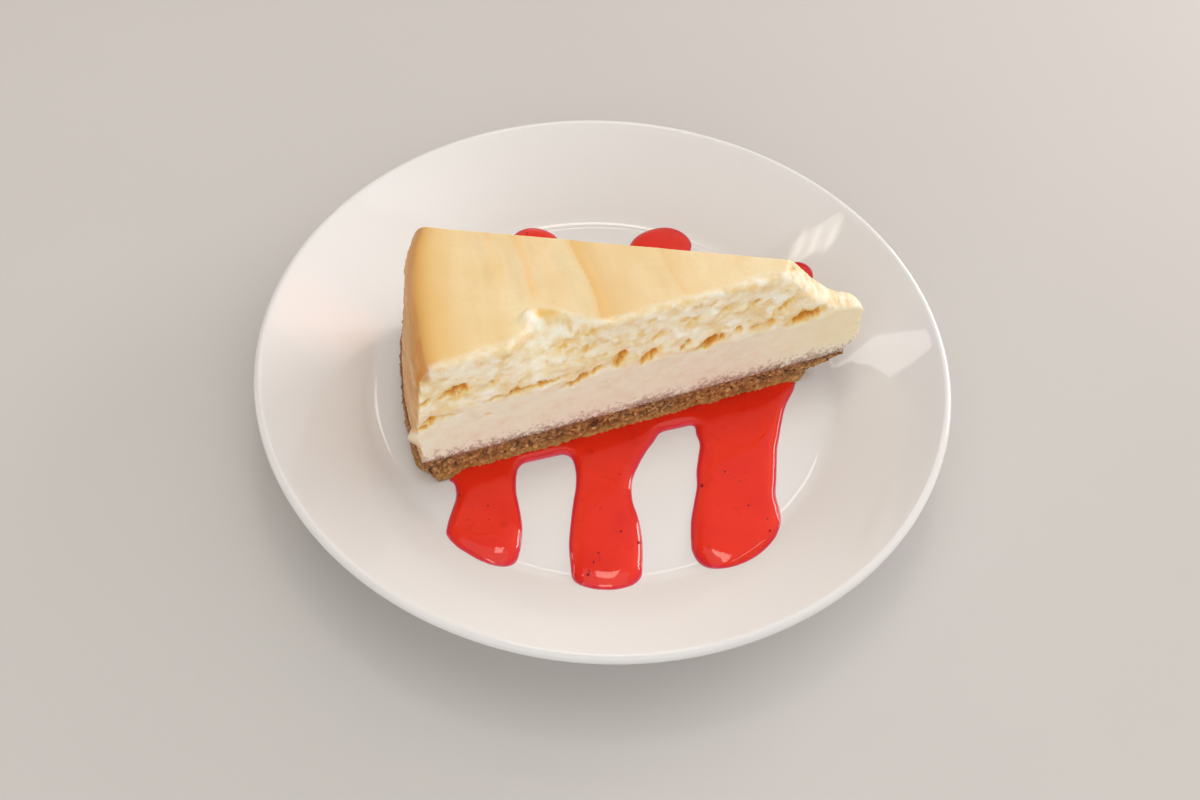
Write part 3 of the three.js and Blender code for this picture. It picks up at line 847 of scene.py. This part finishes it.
def inside_band(x, y, band):
    """Roughly how far a place is inside one band, and below 0 outside it."""
    beside = np.abs(x - along(band["rows"], y, 1))
    half_width = along(band["rows"], y, 2)
    near_end = np.clip(1 - (y - band["near"]) / band["near_round"], 0, 3)
    far_end = np.clip(1 - (band["far"] - y) / band["far_round"], 0, 3)
    return half_width * (1 - np.sqrt((beside / half_width)**2 + np.maximum(near_end, far_end)**2))


def inside_sauce(x, y):
    """Roughly how far a place is inside the sauce, with soft corners where two shapes meet."""
    front = near_line(x) - STRIP["reach"] - STRIP["reach_growth"] * (x - OUTER_X)
    across = np.minimum(y - front, front + STRIP["under"] + 4 - y)
    total = np.minimum(across, np.minimum(x - STRIP["from_x"], STRIP["to_x"] - x))
    for band in SAUCE_BANDS:
        other = inside_band(x, y, band)
        closeness = np.maximum(SAUCE_BLEND - np.abs(total - other), 0)
        total = np.maximum(total, other) + closeness**2 / (4 * SAUCE_BLEND)
    return total


def onto_outline(x, y, rounds=4):
    """Moves places onto the outline, down the slope of the function."""
    step = 0.05
    for _ in range(rounds):
        value = inside_sauce(x, y)
        slope_x = (inside_sauce(x + step, y) - inside_sauce(x - step, y)) / (2 * step)
        slope_y = (inside_sauce(x, y + step) - inside_sauce(x, y - step)) / (2 * step)
        scale = value / np.maximum(slope_x**2 + slope_y**2, 0.05)
        x = x - scale * slope_x
        y = y - scale * slope_y
    return x, y


# %% Pour the sauce
deselect()
span_x, span_y = (-50.0, 74.0), (-70.0, 66.0)
size_x, size_y = span_x[1] - span_x[0], span_y[1] - span_y[0]
bpy.ops.mesh.primitive_grid_add(
    x_subdivisions=round(size_x / SAUCE_GRAIN), y_subdivisions=round(size_y / SAUCE_GRAIN),
    size=1, location=(sum(span_x) / 2 * MM, sum(span_y) / 2 * MM, 0),
)
bpy.context.object.scale = (size_x * MM, size_y * MM, 1)
sauce = named("fruit_sauce_pool")
centres = face_table(sauce, "center") / MM
pick(sauce, inside_sauce(centres[:, 0], centres[:, 1]) < 0)
bpy.ops.mesh.delete(type="FACE")
deselect()
print("sheet of sauce:", len(sauce.data.polygons), "faces")


# %% Put its edge on the outline
SHEET_ROUNDS = 8


def neighbours(piece, edges):
    """For each vertex, the sum of its neighbours along these edges, and their number."""
    points = places(piece)
    total = np.zeros_like(points)
    count = np.zeros(len(points))
    for start, end in (edges.T, edges.T[::-1]):
        np.add.at(total, start, points[end])
        np.add.at(count, start, 1)
    return total, count


def edge_table(piece):
    """The vertex numbers of all edges, and of those that have a face on one side only."""
    mesh = piece.data
    pairs = np.empty(len(mesh.edges) * 2, np.int32)
    mesh.edges.foreach_get("vertices", pairs)
    used = np.empty(len(mesh.loops), np.int32)
    mesh.loops.foreach_get("edge_index", used)
    faces_beside = np.bincount(used, minlength=len(mesh.edges))
    pairs = pairs.reshape(-1, 2)
    return pairs, pairs[faces_beside == 1]


def shape_sheet(piece):
    """Puts the sheet's edge on the outline and evens out the faces beside it."""
    pairs, rim_pairs = edge_table(piece)
    rim = np.unique(rim_pairs)
    for _ in range(SHEET_ROUNDS):
        total, count = neighbours(piece, rim_pairs)
        points = places(piece)
        points[rim] = total[rim] / count[rim][:, None]
        points[rim, 0], points[rim, 1] = onto_outline(points[rim, 0], points[rim, 1])
        move_to(piece, points)
        total, count = neighbours(piece, pairs)
        smoothed = total / count[:, None]
        smoothed[rim] = points[rim]
        move_to(piece, smoothed)
    return rim


rim = shape_sheet(sauce)
print("the sauce's outline has", len(rim), "points")

# %% Let it come to rest, with only a film left under the slice
points = places(sauce)
pairs, _ = edge_table(sauce)
start, end = np.concatenate((pairs, pairs[:, ::-1])).T
beside = np.bincount(start)
stiffness = (2 * SAUCE_BEAD / SAUCE_GRAIN)**2
level = np.zeros(len(points))
for _ in range(SAUCE_ROUNDS):
    average = np.bincount(start, weights=level[end]) / beside
    level = (stiffness * average + 1) / (stiffness + 1)
    level[rim] = 0
depth = SAUCE_RIM + (SAUCE_DEPTH - SAUCE_RIM) * level

x, y = points[:, 0], points[:, 1]
wall_x = CAKE_X - np.sqrt(CAKE_RADIUS**2 - y**2)
covered = np.minimum(y - near_line(x), far_line(x) - y)
covered = np.minimum(covered, np.minimum(x - wall_x, CRUMBLED_X + 2 - x))
depth += (SAUCE_FILM - depth) * ramp(covered, 0.7, 1.6)
write(sauce, "depth", depth / SAUCE_DEPTH)
print("the sauce is up to", round(depth.max(), 2), "mm deep")

# %% The sheet becomes the underside, and a copy of it the surface
all_selected(sauce)
bpy.ops.mesh.extrude_region_move(TRANSFORM_OT_translate={"value": (0, 0, MM)})
deselect()
points = places(sauce)
x, y = points[:, 0], points[:, 1]
shape = np.empty(len(points), np.float32)
sauce.data.attributes["depth"].data.foreach_get("value", shape)

# A liquid is level where it is deep, also over the crease of the plate. Each band swells a little
# before its near end, where it stopped flowing
swell = np.zeros_like(x)
for band in SAUCE_BANDS:
    in_band = 1 - ramp(np.abs(x - along(band["rows"], y)) - along(band["rows"], y, 2), 0, 2)
    near_end = 1 - ramp(y, band["near"], band["near"] + SAUCE_SWELL_LENGTH)
    swell = np.maximum(swell, SAUCE_SWELL * near_end * in_band)
seat = plate_top(x, y)
over = WELL_HEIGHT + SAUCE_DEPTH + swell - seat - SAUCE_ON_WALL
full = SAUCE_ON_WALL + (over + np.sqrt(over**2 + SAUCE_LEVEL_BLEND**2)) / 2
points[:, 2] = seat + SAUCE_ON_PLATE + np.where(points[:, 2] > 0.5, full * shape, 0)
move_to(sauce, points)
all_selected(sauce)
bpy.ops.mesh.normals_make_consistent(inside=False)
only(sauce)
bpy.ops.object.shade_smooth_by_angle(angle=math.radians(75))
print("sauce:", triangles(sauce), "triangles", [round(v / MM, 1) for v in sauce.dimensions], "mm")

# %% [markdown]
# ## Loose crumbs and fruit specks
# The knife dragged crumbs of the base up over the foot of the filling, where they lie in a brown haze
# that thins out upwards. Three crumbs are made, each an icosphere knocked out of shape, and copied.
# Each copy is thrown at the cake from outside: a ray from beside it finds the place where it sticks.

# %% Grains, and how they are scattered
def surface_of(*pieces):
    """The faces of some pieces as one tree that a ray can be shot at."""
    corners, faces = [], []
    for piece in pieces:
        start = len(corners)
        corners += [vertex.co.copy() for vertex in piece.data.vertices]
        faces += [[start + index for index in face.vertices] for face in piece.data.polygons]
    return BVHTree.FromPolygons(corners, faces)


def grain(name, seed, stretch):
    """One uneven grain, about a millimetre across."""
    deselect()
    bpy.ops.mesh.primitive_ico_sphere_add(subdivisions=1, radius=0.5 * MM)
    piece = bpy.context.object
    piece.name = name
    bpy.ops.object.mode_set(mode="EDIT")
    bpy.ops.transform.vertex_random(offset=0.16 * MM, uniform=1.0, normal=0.0, seed=seed)
    bpy.ops.transform.resize(value=stretch, center_override=(0, 0, 0))
    deselect()
    return piece


def scatter(name, grains, spots):
    """Copies of the grains at (place, size), each turned its own way, joined to one piece."""
    draw = random.Random(name)
    copies = []
    for place, size in spots:
        pattern = draw.choice(grains)
        copy = pattern.copy()
        copy.data = pattern.data.copy()
        copy.location = place
        copy.rotation_euler = [draw.uniform(0, 2 * math.pi) for _ in range(3)]
        copy.scale = (size, size, size)
        bpy.context.collection.objects.link(copy)
        copies.append(copy)
    deselect()
    for copy in copies:
        copy.select_set(True)
    bpy.context.view_layer.objects.active = copies[0]
    bpy.ops.object.join()
    for pattern in grains:
        bpy.data.objects.remove(pattern)
    return named(name)


# %% Crumbs on the three sides of the cake
# A row is a side's number of crumbs, the way they fly, where the first one starts, the way from there
# to the last, the waves in their line, its height, and how far up they thin out
CRUMB_SIDES = [
    (420, (0, 1, 0), (OUTER_X + 1, -90), (117, 0), 40, CRUST_TOP - 0.9, 1.0),
    (300, (0, -1, 0), (OUTER_X + 1, 90), (117, 0), 31, CRUST_TOP - 0.9, 0.9),
    (240, (1, 0, 0), (-90, NEAR_FOOT_Y + 1), (0, 54), 0, CRUST_TOP - 0.8, 1.4),
]
CRUMB_SIZES = (0.3, 0.75)
CRUMB_SUNK = 0.18
cake_faces = surface_of(filling, crust)
draw = random.Random(7)


def crumb_spots(count, aim, first, way, wavy, lowest, fade):
    """Crumbs on one side of the cake, fewer and smaller the higher they are."""
    spots = []
    for _ in range(count):
        share = draw.random()
        above = -math.log(1 - 0.98 * draw.random()) * fade
        size = draw.uniform(*CRUMB_SIZES) * (1 if above < 1.2 else 0.7)
        start_z = lowest + above + 0.6 * math.sin(share * wavy)
        start = Vector((first[0] + share * way[0], first[1] + share * way[1], start_z))
        place, facing, _, _ = cake_faces.ray_cast(start * MM, Vector(aim))
        if place is not None:
            spots.append((place - facing * (CRUMB_SUNK * size) * MM, size))
    return spots


crumb_places = [spot for side in CRUMB_SIDES for spot in crumb_spots(*side)]
crumb_shapes = [(1, (1.2, 0.9, 0.8)), (2, (0.9, 1.1, 1.0)), (3, (1.5, 0.8, 0.7))]
crumb_grains = [grain(f"crumb_{seed}", seed, stretch) for seed, stretch in crumb_shapes]
crumbs = scatter("dragged_crumbs", crumb_grains, crumb_places)
print("crumbs:", len(crumb_places), "and", triangles(crumbs), "triangles")

# %% [markdown]
# The specks in the sauce can be counted in a photograph, so they are listed one by one, with their
# place and size, and dropped onto the sauce from above.

# %% Specks of fruit skin in the sauce
SPECKS = [
    (-13.2, -62.8, 2.2), (-11.3, -59.2, 1.5), (-9.6, -56.5, 1.3), (-2.7, -50.7, 1.3), (1.2, -54.2, 1.6),
    (-0.5, -32.6, 1.1), (-36.3, -38.7, 1.2), (-43.4, -34.1, 1.2), (21.2, -38.5, 2.1), (30.4, -37.4, 1.3),
    (28.1, -35.2, 1.2), (32.0, -46.7, 1.2), (36.0, -55.0, 1.5), (36.0, -51.3, 1.0), (-36.5, -43.1, 0.9),
    (-15.0, 60.5, 1.2), (60.5, 30.5, 1.2), (31.5, -38.6, 0.9), (-12.6, -61.6, 1.2),
]
SPECK_SUNK = 0.2
sauce_faces = surface_of(sauce)
speck_places = []
for x, y, size in SPECKS:
    place = sauce_faces.ray_cast(Vector((x, y, 60)) * MM, Vector((0, 0, -1)))[0]
    speck_places.append((place - Vector((0, 0, SPECK_SUNK * size * MM)), size))
speck_grains = [grain(f"speck_{seed}", seed, (1.0, 0.7, 0.5)) for seed in (11, 12)]
pulp = scatter("fruit_skin_specks", speck_grains, speck_places)
print("specks:", len(speck_places), "and", triangles(pulp), "triangles")

# %% [markdown]
# ## Materials
# Each material is built from the thing itself. One small function adds a node, with its settings and
# with what is plugged into it. Pattern sizes are given in millimetres.

# %% Helpers for materials
# A Mix node mixes numbers unless it is told that it mixes colours
COLOURS = {"data_type": "RGBA"}


def add(tree, kind, inputs=None, **settings):
    """Adds a node. An input is a number, a colour, a socket, or a node whose first output is meant."""
    made = tree.nodes.new("ShaderNode" + kind)
    for name, value in settings.items():
        setattr(made, name, value)
    for name, value in (inputs or {}).items():
        if isinstance(name, int):
            socket = made.inputs[name]
        else:
            socket = next(one for one in made.inputs if one.enabled and one.name == name)
        if isinstance(value, bpy.types.Node):
            value = next(output for output in value.outputs if output.enabled)
        if isinstance(value, bpy.types.NodeSocket):
            tree.links.new(value, socket)
        else:
            socket.default_value = value
    return made


def per(size):
    """The scale of a pattern whose features are that many millimetres across."""
    return 1 / (size * MM)


def new_material(piece, name):
    """An empty material on a piece, with the coordinates that its patterns follow."""
    finish = bpy.data.materials.new(name)
    finish.use_nodes = True
    tree = finish.node_tree
    tree.nodes.clear()
    piece.data.materials.clear()
    piece.data.materials.append(finish)
    return tree, add(tree, "TexCoord").outputs["Object"]


# %% [markdown]
# ### Porcelain
# Porcelain is a white body under a clear glaze that was poured on and melted. That gives two things
# to the eye: a soft white, and a mirror with slow waves in it. The ring that it stood on in the kiln
# is wiped bare and stays dull and a little darker.

# %% Porcelain under a clear glaze
tree, spot = new_material(plate, "porcelain_clear_glaze")
height = add(tree, "SeparateXYZ", {"Vector": spot}).outputs["Z"]
bare = add(tree, "MapRange", {"Value": height, "From Min": 0.7 * MM, "From Max": 0.4 * MM})
tone = add(tree, "TexNoise", {"Vector": spot, "Scale": per(45), "Detail": 2.0})
white = add(tree, "Mix", {"Factor": tone, "A": linear("#EDEDEC"), "B": linear("#E9E8E6")}, **COLOURS)
body = add(tree, "Mix", {"Factor": bare, "A": white, "B": linear("#CFC6B8")}, **COLOURS)
gloss = add(tree, "MapRange", {"Value": bare, "To Min": 0.042, "To Max": 0.65})
glaze_waves = add(tree, "TexNoise", {"Vector": spot, "Scale": per(9), "Detail": 1.0})
surface = add(tree, "Bump", {"Strength": 0.08, "Distance": 0.1 * MM, "Height": glaze_waves})
porcelain = add(tree, "BsdfPrincipled", {
    "Base Color": body, "Roughness": gloss, "IOR": 1.52, "Normal": surface,
})
add(tree, "OutputMaterial", {"Surface": porcelain})

# %% [markdown]
# ### Baked cheesecake
# Fresh cheese, egg and cream set by heat: a pale, dense, slightly wet solid. Light goes a few
# millimetres into it and comes out warmer, and its edges look soft. The warm glow and shade that this
# gives its hollows is painted into the colour as orange. So are the lighter crests and darker low
# parts of the torn curd, and the darker gold on the steep side of each fold of the skin. The cut is
# cream below and nearly white where it tore. The skin dried in the oven, so it is golden, most of all
# beside the tin, and a little glossy. The wall against the tin is tan. Where each of these starts was
# kept as an attribute when the filling was carved.

# %% Baked cheesecake: patterns
tree, spot = new_material(filling, "cheesecake_baked")
skin, wall, torn, hollow_shade_glow, crest_highlight, fold_shading, scorched = (
    add(tree, "Attribute", attribute_name=name).outputs["Fac"]
    for name in ("skin", "wall", "torn", "hollow_shade_glow", "crest_highlight", "fold_shading", "scorched")
)
place = add(tree, "SeparateXYZ", {"Vector": spot})
cloud = add(tree, "TexNoise", {"Vector": spot, "Scale": per(11), "Detail": 3.0})
speck = add(tree, "TexNoise", {"Vector": spot, "Scale": per(1.6), "Detail": 4.0, "Roughness": 0.65})
smeared = add(tree, "Mapping", {"Vector": spot, "Scale": (0.1, 0.1, 1.0)})
drag = add(tree, "TexNoise", {"Vector": smeared, "Scale": per(1.1), "Detail": 2.0})
cloudy = add(tree, "MapRange", {"Value": cloud, "From Min": 0.35, "From Max": 0.68})
dragged = add(tree, "MapRange", {"Value": drag, "From Min": 0.35, "From Max": 0.7})

# %% Baked cheesecake: the smooth foot of the cut
smooth = add(tree, "Mix", {"Factor": dragged, "A": linear("#F9F6E0"), "B": linear("#F7F3DC")}, **COLOURS)
flecks = add(tree, "TexNoise", {"Vector": spot, "Scale": per(4.5), "Detail": 5.0, "Roughness": 0.6})
flecked = add(tree, "MapRange", {"Value": flecks, "From Min": 0.45, "From Max": 0.68, "To Max": 0.55})
near_tip = add(tree, "MapRange", {
    "Value": place.outputs["X"], "From Min": 35 * MM, "From Max": 64 * MM, "To Max": 0.7,
})
low = add(tree, "MapRange", {"Value": place.outputs["Z"], "From Min": 22 * MM, "From Max": 17 * MM})
for share, tone in ((flecked, "#F0DFC0"), (near_tip, "#FFEDC4"), (low, "#F8F3E2")):
    smooth = add(tree, "Mix", {"Factor": share, "A": smooth, "B": linear(tone)}, **COLOURS)

# %% Baked cheesecake: the torn curd, with painted highlights on its crests and painted shade and glow in its hollows
smears = add(tree, "Mapping", {
    "Vector": spot, "Rotation": (0, math.radians(-17), 0), "Scale": (0.5, 0.5, 1.0),
})
smear = add(tree, "TexNoise", {"Vector": smears, "Scale": per(2.6), "Detail": 4.0, "Roughness": 0.6})
smeary = add(tree, "MapRange", {"Value": smear, "From Min": 0.4, "From Max": 0.6})
# Painted highlight and shade: the crests of the curd pale, its low parts darker and golden
lit_curd, shaded_curd = (
    add(tree, "Mix", {"Factor": smeary, "A": linear(warm), "B": linear(pale)}, **COLOURS)
    for warm, pale in (("#F7E6BC", "#FFFBEC"), ("#E9C682", "#F8E6BC"))
)
curds = add(tree, "Mix", {"Factor": crest_highlight, "A": shaded_curd, "B": lit_curd}, **COLOURS)
cut = add(tree, "Mix", {"Factor": torn, "A": smooth, "B": curds}, **COLOURS)
# Painted shade and glow in the hollows: golden where shallow, orange where deep
for shallow, deep, tone in ((0.05, 0.45, "#F4D285"), (0.4, 1.0, "#DE9626")):
    glow = add(tree, "MapRange", {"Value": hollow_shade_glow, "From Min": shallow, "From Max": deep})
    cut = add(tree, "Mix", {"Factor": glow, "A": cut, "B": linear(tone)}, **COLOURS)

# %% The brown haze of crumbs that the knife dragged up: dense at the crust, then single dots
dust = add(tree, "TexNoise", {"Vector": spot, "Scale": per(1.3), "Detail": 4.0, "Roughness": 0.65})
uneven = add(tree, "Math", {0: cloud, 1: 5 * MM, 2: place.outputs["Z"]}, operation="MULTIPLY_ADD")
dust_reach = add(tree, "MapRange", {
    "Value": uneven, "From Min": 19.2 * MM, "From Max": 25.0 * MM, "To Min": 0.29, "To Max": 0.68,
})
over_reach = add(tree, "Math", {0: dust, 1: dust_reach}, operation="SUBTRACT")
dusty = add(tree, "MapRange", {"Value": over_reach, "From Max": 0.22, "To Max": 0.74})
off_crust = add(tree, "MapRange", {
    "Value": place.outputs["Z"], "From Min": 16.6 * MM, "From Max": 18.4 * MM,
})
haze = add(tree, "Mix", {"Factor": off_crust, "A": linear("#94664A"), "B": linear("#AC8A74")}, **COLOURS)
cut = add(tree, "Mix", {"Factor": dusty, "A": cut, "B": haze}, **COLOURS)

# %% Baked cheesecake: the golden skin
along_folds = add(tree, "Mapping", {
    "Vector": spot, "Rotation": (0, 0, math.radians(-10)), "Scale": (1.0, 0.16, 0.4),
})
band = add(tree, "TexNoise", {"Vector": along_folds, "Scale": per(8), "Detail": 3.0})
banded = add(tree, "MapRange", {"Value": band, "From Min": 0.38, "From Max": 0.62})
bands = add(tree, "Mix", {"Factor": banded, "A": linear("#FAE7BB"), "B": linear("#F2D69E")}, **COLOURS)
clouds = add(tree, "Mix", {"Factor": cloudy, "A": linear("#FAE6BB"), "B": linear("#F2D69A")}, **COLOURS)
golden = add(tree, "Mix", {"Factor": 0.5, "A": bands, "B": clouds}, **COLOURS)
pores = add(tree, "MapRange", {"Value": speck, "From Min": 0.52, "From Max": 0.7, "To Max": 0.35})
beside_tin = add(tree, "MapRange", {"Value": place.outputs["X"], "From Min": -34 * MM, "From Max": -51 * MM})
# Painted shade: a darker gold on the steep side of each fold and behind it
steep = add(tree, "MapRange", {"Value": fold_shading, "From Max": 0.4, "To Max": 0.95})
for share, tone in ((pores, "#EDD09A"), (beside_tin, "#EBBE6A"), (steep, "#E9C07A")):
    golden = add(tree, "Mix", {"Factor": share, "A": golden, "B": linear(tone)}, **COLOURS)

# %% Baked cheesecake: the wall, and all of it together
tin_marks = add(tree, "Mapping", {"Vector": spot, "Scale": (0.15, 0.15, 1.0)})
marks = add(tree, "TexNoise", {"Vector": tin_marks, "Scale": per(4), "Detail": 3.0})
marked = add(tree, "MapRange", {"Value": marks, "From Min": 0.35, "From Max": 0.65})
tan = add(tree, "Mix", {"Factor": marked, "A": linear("#EAC394"), "B": linear("#D49C5C")}, **COLOURS)
colour = cut
for share, over in ((skin, golden), (wall, tan), (scorched, linear("#CB8228"))):
    colour = add(tree, "Mix", {"Factor": share, "A": colour, "B": over}, **COLOURS)
roughness = add(tree, "MapRange", {"Value": skin, "To Min": 0.6, "To Max": 0.4})
curd_depth = add(tree, "MapRange", {"Value": skin, "To Min": 0.32, "To Max": 0.06})
relief = add(tree, "Math", {0: speck, 1: curd_depth}, operation="MULTIPLY")
surface = add(tree, "Bump", {"Strength": 0.5, "Distance": 0.5 * MM, "Height": relief})
cheesecake = add(tree, "BsdfPrincipled", {
    "Base Color": colour, "Roughness": roughness, "IOR": 1.42, "Normal": surface,
    "Subsurface Weight": 0.25, "Subsurface Radius": (1.0, 0.6, 0.35), "Subsurface Scale": 2 * MM,
})
add(tree, "OutputMaterial", {"Surface": cheesecake})

# %% [markdown]
# ### Biscuit crumbs in butter
# Each grain has its own brown, from pale biscuit to nearly burnt, and the pits between them are
# painted dark, as shade. Voronoi cells give every grain one colour. The base is golden at its foot,
# where the butter ran down, and greyer below the filling.

# %% Crumbs and the pressed base
def biscuit(piece, name, light, middle, dark, size, pit_shade_share):
    """Browns that change from grain to grain, painted shade between grains, darker above, golden at the
    buttery foot.
    """
    tree, spot = new_material(piece, name)
    warp = add(tree, "TexNoise", {"Vector": spot, "Scale": per(0.8), "Detail": 2.0})
    shift = add(tree, "VectorMath", {0: warp.outputs["Color"], 3: 0.6 * MM}, operation="SCALE")
    shifted = add(tree, "VectorMath", {0: spot, 1: shift}, operation="ADD")
    cells = add(tree, "TexVoronoi", {"Vector": shifted, "Scale": per(size)})
    shade = add(tree, "SeparateColor", {"Color": cells.outputs["Color"]})
    patch = add(tree, "TexNoise", {"Vector": spot, "Scale": per(6), "Detail": 2.0})
    shaded_pit = add(tree, "Attribute", attribute_name="shaded_pit").outputs["Fac"]
    level = add(tree, "SeparateXYZ", {"Vector": spot}).outputs["Z"]
    colour = linear(middle)
    # The pits between grains are painted dark: painted shade
    for what, start, full, most, tone in (
        (shade.outputs["Red"], 0.5, 0.95, 1.0, light), (shade.outputs["Green"], 0.62, 0.9, 1.0, dark),
        (patch, 0.45, 0.7, 0.5, dark), (shaded_pit, 0.2, 0.8, pit_shade_share, "#4E2A12"),
        (level, 11.5 * MM, 8.5 * MM, 0.6, "#C79450"), (level, 13.5 * MM, 16 * MM, 0.45, "#8A6048"),
    ):
        share = add(tree, "MapRange", {"Value": what, "From Min": start, "From Max": full, "To Max": most})
        colour = add(tree, "Mix", {"Factor": share, "A": colour, "B": linear(tone)}, **COLOURS)
    fine = add(tree, "TexNoise", {"Vector": spot, "Scale": per(0.5), "Detail": 3.0})
    dull = add(tree, "MapRange", {
        "Value": fine, "From Min": 0.3, "From Max": 0.7, "To Min": 0.55, "To Max": 0.85,
    })
    surface = add(tree, "Bump", {"Strength": 0.7, "Distance": 0.3 * MM, "Height": fine})
    grains = add(tree, "BsdfPrincipled", {
        "Base Color": colour, "Roughness": dull, "IOR": 1.46, "Normal": surface,
    })
    add(tree, "OutputMaterial", {"Surface": grains})


biscuit(crust, "biscuit_crumbs_pressed", "#DDB275", "#B07C44", "#774820", 0.85, 0.85)
biscuit(crumbs, "biscuit_crumbs_loose", "#C9A184", "#A67E68", "#86604E", 1.6, 0.0)

# %% [markdown]
# ### Fruit sauce
# Strained berries boiled with sugar: a clear red gel that is orange red where it is deep, crimson
# towards its edge, and pink at the very edge, where white porcelain shines through it. Its surface is
# as smooth as glass. Specks of skin and seed float in it.

# %% Fruit sauce
tree, spot = new_material(sauce, "fruit_sauce_clear")
depth_share = add(tree, "Attribute", attribute_name="depth").outputs["Fac"]
swirl = add(tree, "TexNoise", {"Vector": spot, "Scale": per(14), "Detail": 2.0})
swirled = add(tree, "MapRange", {"Value": swirl, "From Min": 0.35, "From Max": 0.7})
deep = add(tree, "Mix", {"Factor": swirled, "A": linear("#EF3017"), "B": linear("#E62715")}, **COLOURS)
fuller = add(tree, "MapRange", {"Value": depth_share, "From Min": 0.25, "From Max": 0.6})
colour = add(tree, "Mix", {"Factor": fuller, "A": linear("#DC2438"), "B": deep}, **COLOURS)
thin = add(tree, "MapRange", {"Value": depth_share, "From Min": 0.25, "From Max": 0.07})
threads = add(tree, "TexNoise", {"Vector": spot, "Scale": per(4), "Detail": 4.0, "Distortion": 1.2})
threaded = add(tree, "MapRange", {"Value": threads, "From Min": 0.6, "From Max": 0.78, "To Max": 0.55})
for share, tone in ((thin, "#E06A80"), (threaded, "#BE1712")):
    colour = add(tree, "Mix", {"Factor": share, "A": colour, "B": linear(tone)}, **COLOURS)
gel = add(tree, "BsdfPrincipled", {
    "Base Color": colour, "Roughness": 0.05, "IOR": 1.42,
    "Subsurface Weight": 0.15, "Subsurface Radius": (1.0, 0.12, 0.08), "Subsurface Scale": 1.5 * MM,
})
add(tree, "OutputMaterial", {"Surface": gel})

# %% Fruit skin
tree, spot = new_material(pulp, "fruit_skin")
redness = add(tree, "TexNoise", {"Vector": spot, "Scale": per(2)})
red = add(tree, "Mix", {"Factor": redness, "A": linear("#780815"), "B": linear("#9A0F1C")}, **COLOURS)
wet = add(tree, "BsdfPrincipled", {"Base Color": red, "Roughness": 0.25, "IOR": 1.42})
add(tree, "OutputMaterial", {"Surface": wet})

# %% [markdown]
# ### Floor and room
# A pale matt table, a little darker than the plate, so that the white rim stands out from it. The room
# is a warm grey that grows brighter and whiter towards the back and right, where its windows are, and
# it has one soft pink glow there that the glaze of the left wall mirrors.

# %% Floor
tree, spot = new_material(floor, "matt_table")
table_tone = add(tree, "TexNoise", {"Vector": spot, "Scale": per(120), "Detail": 3.0})
table = add(tree, "Mix", {"Factor": table_tone, "A": linear("#D3D1CE"), "B": linear("#CDCBC8")}, **COLOURS)
matt = add(tree, "BsdfPrincipled", {"Base Color": table, "Roughness": 0.8})
add(tree, "OutputMaterial", {"Surface": matt})

# %% Room
ROOM_STRENGTH = 0.3
SKY_TOWARDS = towards(110, 32)
SKY_STRENGTH = 0.8
GLOW_TOWARDS = towards(122.5, 38)
GLOW_RADIUS = math.radians(9)
GLOW_STRENGTH = 2.0

world = bpy.data.worlds.new("studio")
bpy.context.scene.world = world
world.use_nodes = True
tree = world.node_tree
tree.nodes.clear()
outward = add(tree, "TexCoord").outputs["Generated"]
sky_dot = add(tree, "VectorMath", {0: outward, 1: SKY_TOWARDS}, operation="DOT_PRODUCT")
near_sky = add(tree, "MapRange", {"Value": sky_dot.outputs["Value"]}, interpolation_type="SMOOTHSTEP")
sky = add(tree, "MapRange", {"Value": near_sky, "To Min": ROOM_STRENGTH, "To Max": SKY_STRENGTH})
glow_dot = add(tree, "VectorMath", {0: outward, 1: GLOW_TOWARDS}, operation="DOT_PRODUCT")
near_glow = add(tree, "MapRange", {
    "Value": glow_dot.outputs["Value"], "From Min": math.cos(GLOW_RADIUS), "From Max": 1.0,
}, interpolation_type="SMOOTHSTEP")
brightness = add(tree, "MapRange", {"Value": near_glow, "To Min": sky, "To Max": GLOW_STRENGTH})
tint = add(tree, "Mix", {"Factor": near_sky, "A": linear("#F4DFCB"), "B": linear("#FAF8F6")}, **COLOURS)
tint = add(tree, "Mix", {"Factor": near_glow, "A": tint, "B": linear("#FFB8A0")}, **COLOURS)
room = add(tree, "Background", {"Color": tint, "Strength": brightness})
add(tree, "OutputWorld", {"Surface": room})
print("room, brighter towards", [round(value, 2) for value in SKY_TOWARDS])

# %% [markdown]
# ## Riding on the body
# Every piece rides on the one body that there is, and each piece that stands for a solid hides it.

# %% Ride and replace
for piece, node, slot in (
    (plate, "plate", "porcelain"), (filling, "filling", "cheesecake"),
    (crust, "crumb_base", "crumb_base"), (sauce, "sauce", "fruit_sauce"), (crumbs, None, "crumb_base"),
    (pulp, None, "fruit_sauce"),
):
    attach(piece, "root")
    if node:
        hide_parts(node)
only(plate)
bpy.ops.object.shade_smooth_by_angle(angle=math.radians(40))
deselect()
